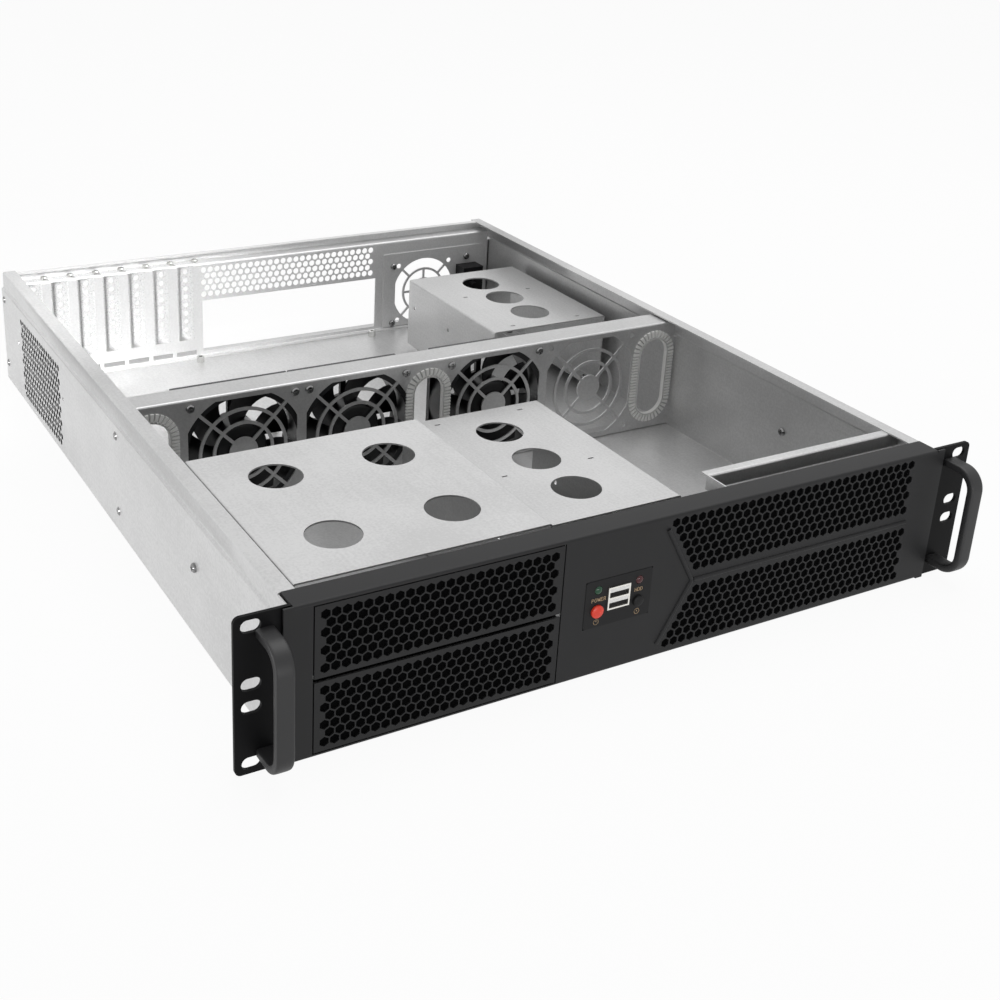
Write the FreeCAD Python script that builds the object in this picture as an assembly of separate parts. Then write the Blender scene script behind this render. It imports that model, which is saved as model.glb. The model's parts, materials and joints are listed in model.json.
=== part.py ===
"""Empty 2U rackmount server case, open at the top, as an assembly of its separate pieces.

Millimetres. X runs to the right seen from the front, Y from the front to the rear, Z up.
The sizes below are taken from the front plane of the rack ears (y = 0) and the floor (z = 0).
Every solid is moved by ORIGIN_SHIFT when it is written, so that the part's own origin lies
in the middle of the floor that the case covers, handles included.
"""
import FreeCAD, Part
import math
import os

V = FreeCAD.Vector

# ---------------------------------------------------------------- driving sizes
# Rack front
EAR_SPAN = 482.6
EAR_SLOT_INSET = 8.75
EAR_SLOT_WIDTH = 7.0
EAR_SLOT_LENGTH = 10.4
EAR_SLOT_EDGE = 5.95
EAR_SLOT_PAIR = 12.7
EAR_THICK = 2.0
EAR_CORNER = 3.5
EAR_RETURN = 26.0

# Case body, folded from steel sheet
CASE_WIDTH = 430.0
CASE_DEPTH = 545.0
CASE_HEIGHT = 87.5
EAR_ABOVE = 0.6
BEZEL_ABOVE = 0.5
SHEET = 1.0
BEND = 0.5
JOGGLE_Z = 75.0
JOGGLE = 1.5
RAIL_WIDTH = 9.5
FIT = 0.1

# Front panel (bezel) and what is set in it
BEZEL_SHEET = 1.2
BEZEL_PROUD = 2.4
BEZEL_OVERHANG = 2.2
BEZEL_FLANGE = 16.0
BAY_LEFT = -201.8
BAY_WIDTH = 143.2
BAY_RAIL = 1.8
COVER_GAP = 0.3
COVER_RETURN = 10.0
COVER_CLIP = 4.0
COVER_SEAM = 1.4
FILTER_THICK = 3.0
FILTER_EDGE = 0.6
MESH_PITCH = 13.0
MESH_BAR = 2.4
MESH_MARGIN = 2.6
MESH_LEFT = 10.5
MESH_RIGHT = 195.0
RIDGE_WIDTH = 3.0
RIDGE_HEIGHT = 0.9
RIDGE_INSET = 5.0

# Control plate on the front panel
PLATE_CENTRE_X = -22.0
PLATE_CENTRE_Z = 44.9
PLATE_WIDTH = 43.6
PLATE_HEIGHT = 28.8
PLATE_CORNER = 1.6
PLATE_THICK = 2.0
LED_DIAMETER = 5.0
LED_OFFSET_X = 13.5
LED_OFFSET_Z = 8.3
BUTTON_OFFSET_Z = -4.5
POWER_DIAMETER = 7.7
RESET_DIAMETER = 6.6
BUTTON_PROUD = 1.9
BUTTON_COLLAR = 0.9
BUTTON_TRAVEL = 1.2
BUTTON_FIT = 0.1
USB_WIDTH = 14.4
USB_HEIGHT = 13.6
USB_OFFSET_Z = 1.6
USB_SHELL = 0.5
BOARD_BEHIND = 12.0
BOARD_THICK = 1.6
SWITCH_SIDE = 6.0
SWITCH_HEIGHT = 3.4
STEM_DIAMETER = 3.4
BOARD_POST = 3.0
BOARD_POST_INSET = 2.2
LED_PROUD = 0.9
LED_LENGTH = 3.0
LED_RIM = 0.5
LED_LEG = 0.6
LED_LEG_GAP = 2.54
USB_BACK = 2.0
USB_TONGUE = 11.0
USB_TONGUE_THICK = 1.8

# Handles
HANDLE_REACH = 25.0
HANDLE_WIDTH = 9.5
HANDLE_THICK = 5.0
HANDLE_BOTTOM = 8.0
HANDLE_TOP = 80.0
HANDLE_RADIUS = 14.0
HANDLE_INSET = 15.9
HANDLE_SCREW = 4.0
HANDLE_THREAD = 8.0

# Fan wall and its four 80 mm fan places
FAN_WALL_Y = 256.2
FAN_WALL_BELOW = 2.1
FAN_WALL_FLANGE = 19.0
FAN_WALL_FOOT = 14.0
FAN_WALL_SIDE = 10.0
FAN_SIZE = 80.0
FAN_DEPTH = 25.0
FAN_HOLES = 71.5
FAN_HOLE = 4.3
FAN_CENTRE_Z = 43.5
FAN_PAIR_PITCH = 81.5
FAN_PAIR_OUTER = 132.6
FAN_PAIR_SHIFT = 2.4
GRILLE_DIAMETER = 84.0
GRILLE_ACROSS = 75.0
GRILLE_HUB = 9.8
GRILLE_RINGS = (20.0, 29.5)
GRILLE_BAR = 2.2
EDGING_BAND = 5.2
EDGING_REAR_LIP = 1.1
EDGING_THICK = 1.2
FANS = 3
END_HOLE_WIDTH = 26.4
MIDDLE_HOLE_WIDTH = 24.4
CABLE_HOLE_HEIGHT = 62.4
END_HOLE_X = 194.2

# Fans
FAN_FLANGE = 4.0
FAN_BARREL_WALL = 1.6
FAN_TIP_GAP = 1.0
HUB_DIAMETER = 35.0
HUB_DEPTH = 17.0
HUB_WALL = 1.6
HUB_SETBACK = 1.5
BLADES = 7
BLADE_THICK = 1.5
BLADE_ROOT_ANGLE = 50.0
BLADE_TIP_ANGLE = 28.0
BLADE_ROOT_CHORD = 17.0
BLADE_TIP_CHORD = 23.0
SHAFT_DIAMETER = 3.0
SHAFT_FIT = 0.08
BEARING_WALL = 2.5
MOTOR_PLATE = 3.0
STRUTS = 4
STRUT_WIDTH = 4.0

# Drive cages
BAY_CAGE_X = -127.5
BAY_CAGE_INNER = 148.0
BAY_CAGE_BELOW = 1.5
BAY_CAGE_FRONT = 20.5
BAY_CAGE_DEPTH = 151.0
DISK_CAGE_X = 14.8
DISK_CAGE_INNER = 102.0
DISK_CAGE_TOP = 60.6
DISK_CAGE_FRONT = 58.6
DISK_CAGE_DEPTH = 158.6
CAGE_FOOT = 6.6
CAGE_HOLE = 31.0
BAY_HOLE_PITCH_X = 70.6
BAY_HOLE_PITCH_Y = 75.0
DISK_HOLE_PITCH = 44.2
BAY_SCREW_BACK = (50.0, 129.0)
BAY_SCREW_Z = (12.0, 54.0)
DISK_SCREW_BACK = (30.0, 128.9)
DISK_SCREW_Z = (11.5, 37.0)
DISK_SLIT_OUT = 31.7
DISK_SLIT_BACK = (65.7, 149.6)
SLIT_LENGTH = 4.0
SLIT_WIDTH = 1.4
FEET_SHARES = (0.15, 0.85)
POST_SHARES = (0.08, 0.92)

# Power supply cage, on standoffs
PSU_CAGE_X = 155.3
PSU_CAGE_INNER = 100.4
PSU_CAGE_TOP = 64.0
PSU_CAGE_CLEAR = 55.0
PSU_CAGE_DEPTH = 138.0
PSU_CAGE_LIFT = 6.0
PSU_CAGE_FLANGE = 12.0
PSU_HOLE_PITCH = 38.3
PSU_SIDE_HOLE_BACK = (70.6, 127.7)
PSU_SIDE_HOLE_Z = 42.0
PSU_SLIT_OUT = 30.1
PSU_SLIT_BACK = (8.0, 81.0)

# Rear panel
REAR_RECESS = 16.0
REAR_FOOT = 5.0
LEDGE_Z = 80.8
LEDGE_DEPTH = 13.0
LIP_FLANGE = 6.5
REAR_SIDE = 13.0
SLOTS = 7
SLOT_PITCH = 20.32
FIRST_SLOT_X = -194.9
SLOT_OPENING = 9.4
SLOT_BOTTOM = 20.3
SLOT_TOP = 78.6
COVER_SHEET = 0.8
COVER_WIDTH = 13.8
COVER_BOTTOM = 17.0
TAB_WIDTH = 15.6
TAB_DEPTH = 9.0
COVER_SCREW_BACK = 6.0
COVER_SCREW_LENGTH = 3.0
COVER_HOLES = 8
COVER_HOLE = 4.3
COVER_HOLE_TOP = 75.8
COVER_HOLE_PITCH = 7.1
TONGUE_WIDTH = 17.0
TONGUE_HEIGHT = 4.0
TONGUE_Z = 2.8
IO_LEFT = -58.6
IO_BOTTOM = 4.8
IO_WIDTH = 158.75
IO_HEIGHT = 44.45
VENT_PITCH = 11.7
VENT_BAR = 2.6
VENT_BOTTOM = 55.0
VENT_TOP = 75.4
SIDE_VENT_CLEAR = 50.5
SIDE_VENT_LENGTH = 107.0
SIDE_VENT_BOTTOM = 5.0
SIDE_VENT_TOP = 67.5
SIDE_VENT_PITCH = 12.0
SIDE_VENT_HOLE = 3.0
SIDE_VENT_HOLE_OUT = 6.1
SIDE_VENT_HOLE_Z = 45.2
VENT_LEFT = -61.0
VENT_RIGHT = 98.0
CABLE_TIE_HOLE = 4.0
CABLE_TIE_PLACE = (164.6, 204.9)

# Power supply plate with its 60 mm fan grille and mains inlet
PSU_PLATE_LEFT = 107.5
PSU_PLATE_WIDTH = 100.0
PSU_PLATE_BOTTOM = 2.6
PSU_PLATE_HEIGHT = 67.0
PSU_FAN_X = 147.4
PSU_FAN_Z = 33.0
PSU_FAN_HOLES = 50.0
PSU_GRILLE_DIAMETER = 59.0
PSU_GRILLE_RINGS = (10.6, 19.8)
PSU_GRILLE_BAR = 2.0
PSU_OPENING_LEFT = 119.9
PSU_OPENING_RIGHT = 205.0
PSU_OPENING_BOTTOM = 5.0
PSU_OPENING_TOP = 66.5
PSU_SCREW_X = 117.0
PSU_SCREW_Z = (5.7, 58.0)
PSU_SCREW_LENGTH = 4.0
INLET_X = 190.4
INLET_Z = 39.6
INLET_WIDTH = 20.0
INLET_HEIGHT = 27.0
INLET_FLANGE_WIDTH = 24.0
INLET_FLANGE_HEIGHT = 49.0
INLET_SCREWS = 40.0
INLET_DEPTH = 18.0
INLET_WALL = 2.0
INLET_EAR = 10.0
INLET_FLANGE_THICK = 3.0
PIN_LENGTH = 14.0
INLET_PIN_OUT = 4.0
INLET_PIN_PITCH = 7.0
INLET_PIN_WIDE = 4.0
INLET_PIN_THICK = 2.0
INLET_TERMINAL = 6.0
PLATE_LAP = 1.6

# Bracket behind the right of the front panel
BRACKET_LEFT = 61.0
BRACKET_FRONT = 31.0
BRACKET_FLANGE = 6.0
BRACKET_WEB = 9.0
BRACKET_FOOT = 7.0

# Fasteners
SCREW_SHANK = 3.0
SCREW_HOLE = 3.4
SCREW_HEAD = 5.6
SCREW_HEAD_HIGH = 1.8
RIVET_SHANK = 3.2
RIVET_HEAD = 6.0
RIVET_HEAD_HIGH = 0.9
RIVET_HEAD_FLAT = 3.8
SIDE_RIVET_Z = (15.2, 67.1)
REAR_RIVET_CLEAR = 6.0
SIDE_SCREWS = ((1, 132.1, 45.0), (-1, 123.5, 45.4))
SIDE_SCREW_LENGTH = 3.0
RECESS_LENGTH = 3.4
RECESS_WIDTH = 0.7
RECESS_DEPTH = 0.9
STANDOFF_ACROSS = 5.5
STANDOFF_HEIGHT = 5.0
STANDOFF_X = (91.6, -65.9, -190.3)
STANDOFF_BACK = (12.6, 167.5, 239.9)

# ---------------------------------------------------------------- sizes that follow
HALF = CASE_WIDTH / 2
EAR_HEIGHT = CASE_HEIGHT + EAR_ABOVE
BEZEL_HEIGHT = CASE_HEIGHT + BEZEL_ABOVE
FAN_WALL_TOP = CASE_HEIGHT - FAN_WALL_BELOW
BAY_CAGE_TOP = CASE_HEIGHT - BAY_CAGE_BELOW
WALL_IN = HALF - SHEET
STRIP_IN = WALL_IN - JOGGLE
RAIL_IN = HALF - JOGGLE - RAIL_WIDTH
FLOOR = SHEET
WALL_FRONT = EAR_THICK
EAR_RETURN_IN = WALL_IN - EAR_THICK
REAR_IN = CASE_DEPTH - REAR_RECESS
PSU_CAGE_FRONT = REAR_IN - PSU_CAGE_CLEAR - PSU_CAGE_DEPTH
SIDE_VENT_REAR = CASE_DEPTH - SIDE_VENT_CLEAR
SIDE_VENT_FRONT = SIDE_VENT_REAR - SIDE_VENT_LENGTH
EAR_SLOT_X = EAR_SPAN / 2 - EAR_SLOT_INSET
HANDLE_X = EAR_SPAN / 2 - HANDLE_INSET
BEZEL_HALF = HALF + BEZEL_OVERHANG
BEZEL_FRONT = -BEZEL_PROUD
BEZEL_REAR = BEZEL_FRONT + BEZEL_FLANGE
BODY_FRONT = BEZEL_REAR + COVER_GAP
BEZEL_BACK = BEZEL_FRONT + BEZEL_SHEET
EAR_SLOT_Z = (
    EAR_SLOT_EDGE,
    EAR_HEIGHT / 2 - EAR_SLOT_PAIR / 2,
    EAR_HEIGHT / 2 + EAR_SLOT_PAIR / 2,
    EAR_HEIGHT - EAR_SLOT_EDGE,
)
FAN_FRONT = FAN_WALL_Y + SHEET
FAN_X = (
    -FAN_PAIR_OUTER,
    -FAN_PAIR_OUTER + FAN_PAIR_PITCH,
    FAN_PAIR_OUTER + 2 * FAN_PAIR_SHIFT - FAN_PAIR_PITCH,
    FAN_PAIR_OUTER + 2 * FAN_PAIR_SHIFT,
)
CABLE_HOLES = (
    ("left", -END_HOLE_X, END_HOLE_WIDTH),
    ("middle", (FAN_X[1] + FAN_X[2]) / 2, MIDDLE_HOLE_WIDTH),
    ("right", END_HOLE_X, END_HOLE_WIDTH),
)
SLOT_X = [FIRST_SLOT_X + SLOT_PITCH * i for i in range(SLOTS)]
ORIGIN_SHIFT = V(0, -(CASE_DEPTH - HANDLE_REACH) / 2, 0)
PLATE_FRONT = BEZEL_FRONT - 0.2
PLATE_REAR = PLATE_FRONT + PLATE_THICK
BOARD_FRONT = PLATE_REAR + BOARD_BEHIND
POWER_X = PLATE_CENTRE_X - LED_OFFSET_X
RESET_X = PLATE_CENTRE_X + LED_OFFSET_X
BUTTON_Z = PLATE_CENTRE_Z + BUTTON_OFFSET_Z
LED_Z = PLATE_CENTRE_Z + LED_OFFSET_Z
USB_Z = PLATE_CENTRE_Z + USB_OFFSET_Z
BOARD_POST_X = PLATE_WIDTH / 2 - BOARD_POST_INSET
BOARD_POST_Z = PLATE_HEIGHT / 2 - BOARD_POST_INSET
BOARD_CORNERS = [
    (PLATE_CENTRE_X + sx * BOARD_POST_X, PLATE_CENTRE_Z + sz * BOARD_POST_Z)
    for sx in (-1, 1)
    for sz in (-1, 1)
]
PSU_PLATE_RIGHT = PSU_PLATE_LEFT + PSU_PLATE_WIDTH
PSU_PLATE_TOP = PSU_PLATE_BOTTOM + PSU_PLATE_HEIGHT
COVER_SCREW_Y = REAR_IN + COVER_SCREW_BACK
BEARING_FRONT = FAN_FRONT + HUB_SETBACK + HUB_WALL + FAN_TIP_GAP


# ---------------------------------------------------------------- shape helpers
def box(x0, x1, y0, y1, z0, z1):
    """A block between two values on each axis."""
    return Part.makeBox(x1 - x0, y1 - y0, z1 - z0, V(x0, y0, z0))


def rod(diameter, start, length, direction=V(0, 1, 0)):
    """A cylinder from a start point along a direction, along Y unless given."""
    return Part.makeCylinder(diameter / 2, length, start, direction)


def prism(points, direction):
    """A solid pushed from a closed flat outline along a vector."""
    return Part.Face(Part.makePolygon(points + points[:1])).extrude(direction)


def hexagon(x, y, z, across, depth, normal):
    """A six-sided prism: across flats, pushed both ways from its centre along its normal axis."""
    radius = across / math.sqrt(3)
    points = []
    for corner in range(6):
        angle = math.radians(60 * corner + 30)
        u = radius * math.cos(angle)
        v = radius * math.sin(angle)
        if normal == "y":
            points.append(V(x + u, y - depth, z + v))
        elif normal == "x":
            points.append(V(x - depth, y + u, z + v))
        else:
            points.append(V(x + u, y + v, z - depth))
    push = {"x": V(2 * depth, 0, 0), "y": V(0, 2 * depth, 0), "z": V(0, 0, 2 * depth)}[normal]
    return prism(points, push)


def offset_line(points, distance):
    """The polyline moved sideways to its left, with mitred corners."""
    moved = []
    for i, point in enumerate(points):
        normals = []
        if i > 0:
            normals.append(left_normal(points[i - 1], point))
        if i < len(points) - 1:
            normals.append(left_normal(point, points[i + 1]))
        nx = sum(n[0] for n in normals) / len(normals)
        ny = sum(n[1] for n in normals) / len(normals)
        scale = distance / (nx * nx + ny * ny)
        moved.append((point[0] + nx * scale, point[1] + ny * scale))
    return moved


def left_normal(a, b):
    """The unit vector to the left of the way from a to b."""
    length = math.hypot(b[0] - a[0], b[1] - a[1])
    return (-(b[1] - a[1]) / length, (b[0] - a[0]) / length)


def rounded_line(points, radii, place):
    """Edges along a polyline whose inner corners are arcs of the given radii."""
    edges = []
    start = points[0]
    for i in range(1, len(points) - 1):
        before, corner, after = points[i - 1], points[i], points[i + 1]
        d1 = math.hypot(corner[0] - before[0], corner[1] - before[1])
        d2 = math.hypot(after[0] - corner[0], after[1] - corner[1])
        u1 = ((corner[0] - before[0]) / d1, (corner[1] - before[1]) / d1)
        u2 = ((after[0] - corner[0]) / d2, (after[1] - corner[1]) / d2)
        turn = math.acos(max(-1.0, min(1.0, u1[0] * u2[0] + u1[1] * u2[1])))
        reach = radii[i] * math.tan(turn / 2)
        a = (corner[0] - u1[0] * reach, corner[1] - u1[1] * reach)
        b = (corner[0] + u2[0] * reach, corner[1] + u2[1] * reach)
        bisector = (u2[0] - u1[0], u2[1] - u1[1])
        size = math.hypot(*bisector)
        drop = radii[i] * (1 / math.cos(turn / 2) - 1)
        m = (corner[0] + bisector[0] / size * drop, corner[1] + bisector[1] / size * drop)
        edges.append(Part.LineSegment(place(start), place(a)).toShape())
        edges.append(Part.Arc(place(a), place(m), place(b)).toShape())
        start = b
    edges.append(Part.LineSegment(place(start), place(points[-1])).toShape())
    return edges


def folded(path, thick, across, start, end):
    """Sheet metal: a path with bends, given its thickness to the left, pushed along X or Y.

    The path's pairs are (y, z) for a sheet pushed along X and (x, z) for one pushed along Y.
    """
    if across == "x":
        def place(p):
            return V(start, p[0], p[1])
        push = V(end - start, 0, 0)
    else:
        def place(p):
            return V(p[0], start, p[1])
        push = V(0, end - start, 0)
    other = offset_line(path, thick)
    inner, outer = [0.0], [0.0]
    for i in range(1, len(path) - 1):
        ax, ay = path[i][0] - path[i - 1][0], path[i][1] - path[i - 1][1]
        bx, by = path[i + 1][0] - path[i][0], path[i + 1][1] - path[i][1]
        turns_left = ax * by - ay * bx > 0
        outer.append(BEND + thick if turns_left else BEND)
        inner.append(BEND if turns_left else BEND + thick)
    outer.append(0.0)
    inner.append(0.0)
    edges = rounded_line(path, outer, place)
    edges.append(Part.LineSegment(place(path[-1]), place(other[-1])).toShape())
    edges += rounded_line(other[::-1], inner[::-1], place)
    edges.append(Part.LineSegment(place(other[0]), place(path[0])).toShape())
    face = Part.Face(Part.Wire(Part.__sortEdges__(edges)))
    return face.extrude(push)


def oblong(x, z, width, height, y0, y1):
    """An upright slot with round ends, from y0 to y1."""
    r = width / 2
    straight = height / 2 - r
    body = box(x - r, x + r, y0, y1, z - straight, z + straight)
    top = rod(width, V(x, y0, z + straight), y1 - y0)
    bottom = rod(width, V(x, y0, z - straight), y1 - y0)
    return body.fuse([top, bottom]).removeSplitter()


def level_slot(x, z, width, length, y0, y1):
    """A level slot with round ends, from y0 to y1."""
    straight = (length - width) / 2
    body = box(x - straight, x + straight, y0, y1, z - width / 2, z + width / 2)
    right = rod(width, V(x + straight, y0, z), y1 - y0)
    left = rod(width, V(x - straight, y0, z), y1 - y0)
    return body.fuse([right, left]).removeSplitter()


def cut_all(shape, tools):
    """The shape with every tool taken away in one step."""
    return shape.cut(Part.makeCompound(tools)) if tools else shape


def save(name, shape):
    """Writes one node, moved to the part's own origin."""
    solids = shape.Solids
    whole = solids[0] if len(solids) == 1 else Part.makeCompound(solids)
    whole = whole.copy()
    whole.translate(ORIGIN_SHIFT)
    whole.exportStep("parts/" + name + ".step")


def honeycomb(left, right, bottom, top, pitch, lean=0):
    """Centres of staggered six-sided holes in a rectangle, as (across, up) pairs.

    With lean 0 every second row moves half a pitch. With lean 1 or -1 each row upwards starts half
    a pitch later or earlier than the one below, so that the left end slopes.
    """
    row_pitch = pitch * math.sqrt(3) / 2
    rows = int((top - bottom - pitch * 0.9) / row_pitch + 1e-6) + 1
    lowest = (top + bottom - (rows - 1) * row_pitch) / 2
    places = []
    for row in range(rows):
        steps = {0: row % 2, 1: row, -1: rows - 1 - row}[lean]
        start = left + pitch / 2 + steps * pitch / 2
        count = int((right - pitch / 2 - start) / pitch + 1e-6) + 1
        slack = 0.0
        if lean == 0:
            columns = int((right - left - pitch) / pitch + 1e-6) + 1
            slack = (right - left - columns * pitch) / 2
        for i in range(count):
            places.append((start + slack + i * pitch, lowest + row * row_pitch))
    return places


def pan_screw(x, y, z, toward, length):
    """A pan-head machine screw whose head seats at the given point and shank runs toward a side."""
    head_start = V(x, y, z) - toward * SCREW_HEAD_HIGH
    head = Part.makeCylinder(SCREW_HEAD / 2, SCREW_HEAD_HIGH, head_start, toward)
    head = head.makeChamfer(SCREW_HEAD_HIGH * 0.4, [e for e in head.Edges if is_rim(e, head_start)])
    shank = Part.makeCylinder(SCREW_SHANK / 2, length, V(x, y, z), toward)
    cross = []
    reach = RECESS_LENGTH / 2
    for quarter in (0, 90):
        bar = box(-reach, reach, -RECESS_WIDTH / 2, RECESS_WIDTH / 2, -0.1, RECESS_DEPTH)
        bar.rotate(V(0, 0, 0), V(0, 0, 1), quarter)
        seat = FreeCAD.Placement(head_start, FreeCAD.Rotation(V(0, 0, 1), toward))
        bar.Placement = seat.multiply(bar.Placement)
        cross.append(bar)
    return cut_all(head.fuse(shank).removeSplitter(), cross)


def is_rim(edge, centre):
    """True for a circular edge whose centre is the given point."""
    return hasattr(edge.Curve, "Center") and edge.Curve.Center.distanceToPoint(centre) < 1e-6


def rivet(x, y, z, toward, length):
    """A blind rivet: a low round head seated at the point and a shank toward a side."""
    head_start = V(x, y, z) - toward * RIVET_HEAD_HIGH
    head = Part.makeCone(RIVET_HEAD_FLAT / 2, RIVET_HEAD / 2, RIVET_HEAD_HIGH, head_start, toward)
    shank = Part.makeCylinder(RIVET_SHANK / 2, length, V(x, y, z), toward)
    return head.fuse(shank).removeSplitter()


# ---------------------------------------------------------------- places shared by several pieces
SIDE_RIVETS = []
for _side in (-1, 1):
    for _z in SIDE_RIVET_Z:
        SIDE_RIVETS.append((_side, CASE_DEPTH - REAR_RIVET_CLEAR, _z))
        SIDE_RIVETS.append((_side, FAN_WALL_Y + FAN_WALL_SIDE / 2, _z))


def cage_feet(x, inner, front, depth):
    """The places of the four floor rivets in a cage's outward feet."""
    reach = inner / 2 + SHEET + CAGE_FOOT / 2
    return [(x + s * reach, front + depth * share) for s in (-1, 1) for share in FEET_SHARES]


FLOOR_RIVETS = (
    cage_feet(BAY_CAGE_X, BAY_CAGE_INNER, BAY_CAGE_FRONT, BAY_CAGE_DEPTH)
    + cage_feet(DISK_CAGE_X, DISK_CAGE_INNER, DISK_CAGE_FRONT, DISK_CAGE_DEPTH)
)
PSU_POSTS = [
    (PSU_CAGE_X + s * (PSU_CAGE_INNER / 2 - PSU_CAGE_FLANGE / 2), PSU_CAGE_FRONT + PSU_CAGE_DEPTH * share)
    for s in (-1, 1)
    for share in POST_SHARES
]
BOARD_POSTS = [(x, REAR_IN - back) for x in STANDOFF_X for back in STANDOFF_BACK]


# ---------------------------------------------------------------- case body
def make_tray():
    """Floor, both side walls and the rails along their tops, folded from one sheet."""
    upper = HALF - JOGGLE
    path = [
        (-RAIL_IN, CASE_HEIGHT),
        (-upper, CASE_HEIGHT),
        (-upper, JOGGLE_Z + JOGGLE / 2),
        (-HALF, JOGGLE_Z - JOGGLE / 2),
        (-HALF, 0),
        (HALF, 0),
        (HALF, JOGGLE_Z - JOGGLE / 2),
        (upper, JOGGLE_Z + JOGGLE / 2),
        (upper, CASE_HEIGHT),
        (RAIL_IN, CASE_HEIGHT),
    ]
    tray = folded(path, SHEET, "y", WALL_FRONT, CASE_DEPTH)
    tools = [
        box(-HALF, HALF, WALL_FRONT - 1, BODY_FRONT, BEZEL_HEIGHT - BEZEL_SHEET - FIT, CASE_HEIGHT + 1),
        box(-EAR_RETURN_IN, EAR_RETURN_IN, WALL_FRONT - 1, BODY_FRONT, -1, FLOOR + 1),
    ]
    for y, z in honeycomb(SIDE_VENT_FRONT, SIDE_VENT_REAR, SIDE_VENT_BOTTOM, SIDE_VENT_TOP, SIDE_VENT_PITCH):
        tools.append(hexagon(-HALF, y, z, SIDE_VENT_PITCH - VENT_BAR, 2 * SHEET, "x"))
    for y in (SIDE_VENT_FRONT - SIDE_VENT_HOLE_OUT, SIDE_VENT_REAR + SIDE_VENT_HOLE_OUT):
        tools.append(rod(SIDE_VENT_HOLE, V(-HALF - 1, y, SIDE_VENT_HOLE_Z), 3 * SHEET, V(1, 0, 0)))
    for side, y, z in SIDE_RIVETS:
        tools.append(rod(RIVET_SHANK, V(side * (HALF + 1), y, z), 3 * SHEET, V(-side, 0, 0)))
    for side, y, z in SIDE_SCREWS:
        tools.append(rod(SCREW_SHANK, V(side * (HALF + 1), y, z), 3 * SHEET, V(-side, 0, 0)))
    for x, y in FLOOR_RIVETS:
        tools.append(rod(RIVET_SHANK, V(x, y, -1), 3 * SHEET, V(0, 0, 1)))
    tools.append(rod(CABLE_TIE_HOLE, V(*CABLE_TIE_PLACE, -1), 3 * SHEET, V(0, 0, 1)))
    return cut_all(tray, tools)


def corner_reliefs(front, rear):
    """Blocks that trim an upright panel's corners clear of the walls' upper strips and the floor's bends."""
    blocks = []
    for side in (-1, 1):
        for inner, low, high in (
            (STRIP_IN - FIT, JOGGLE_Z - 2 * JOGGLE, CASE_HEIGHT + SHEET),
            (RAIL_IN - FIT, CASE_HEIGHT - SHEET - FIT, CASE_HEIGHT + SHEET),
            (WALL_IN - BEND, 0, FLOOR + BEND),
        ):
            edges = sorted((side * inner, side * HALF))
            blocks.append(box(edges[0], edges[1], front, rear, low, high))
    return blocks


def side_flange(side, front, depth, bottom, top):
    """A flange that runs back along the inner face of a side wall."""
    edges = sorted((side * WALL_IN, side * (WALL_IN - SHEET)))
    return box(edges[0], edges[1], front, front + depth, bottom, top)


def make_rear_panel():
    """The rear panel: foot, recessed upright, ledge, lip and top flange folded from one sheet."""
    path = [
        (REAR_IN - REAR_FOOT, FLOOR),
        (REAR_IN + SHEET, FLOOR),
        (REAR_IN + SHEET, LEDGE_Z - SHEET),
        (REAR_IN + LEDGE_DEPTH, LEDGE_Z - SHEET),
        (REAR_IN + LEDGE_DEPTH, CASE_HEIGHT),
        (REAR_IN + LEDGE_DEPTH - LIP_FLANGE, CASE_HEIGHT),
    ]
    panel = folded(path, SHEET, "x", -WALL_IN, WALL_IN)
    tools = corner_reliefs(REAR_IN - REAR_FOOT, CASE_DEPTH)
    panel = cut_all(panel, tools)
    for side in (-1, 1):
        flange = side_flange(side, REAR_IN, REAR_SIDE, FLOOR + 2 * SHEET, JOGGLE_Z - 2 * JOGGLE)
        panel = panel.fuse(flange)
    tools = [box(IO_LEFT, IO_LEFT + IO_WIDTH, REAR_IN - 1, REAR_IN + 2, IO_BOTTOM, IO_BOTTOM + IO_HEIGHT)]
    for x in SLOT_X:
        for width, low, high in (
            (SLOT_OPENING, SLOT_BOTTOM, SLOT_TOP),
            (TONGUE_WIDTH, TONGUE_Z, TONGUE_Z + TONGUE_HEIGHT),
        ):
            tools.append(box(x - width / 2, x + width / 2, REAR_IN - 1, REAR_IN + 2, low, high))
        tools.append(rod(SCREW_SHANK, V(x + SLOT_PITCH / 2, COVER_SCREW_Y, LEDGE_Z - 2), 4, V(0, 0, 1)))
    for x, z in honeycomb(VENT_LEFT, VENT_RIGHT, VENT_BOTTOM, VENT_TOP, VENT_PITCH):
        tools.append(hexagon(x, REAR_IN, z, VENT_PITCH - VENT_BAR, 2 * SHEET, "y"))
    tools.append(
        box(
            PSU_OPENING_LEFT,
            PSU_OPENING_RIGHT,
            REAR_IN - 1,
            REAR_IN + 2,
            PSU_OPENING_BOTTOM,
            PSU_OPENING_TOP,
        )
    )
    for z in PSU_SCREW_Z:
        tools.append(rod(SCREW_SHANK, V(PSU_SCREW_X, REAR_IN - 1, z), 3))
    for side, y, z in SIDE_RIVETS:
        if y > REAR_IN:
            tools.append(rod(RIVET_SHANK, V(side * HALF, y, z), 3 * SHEET, V(-side, 0, 0)))
    return cut_all(panel, tools)


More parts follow.
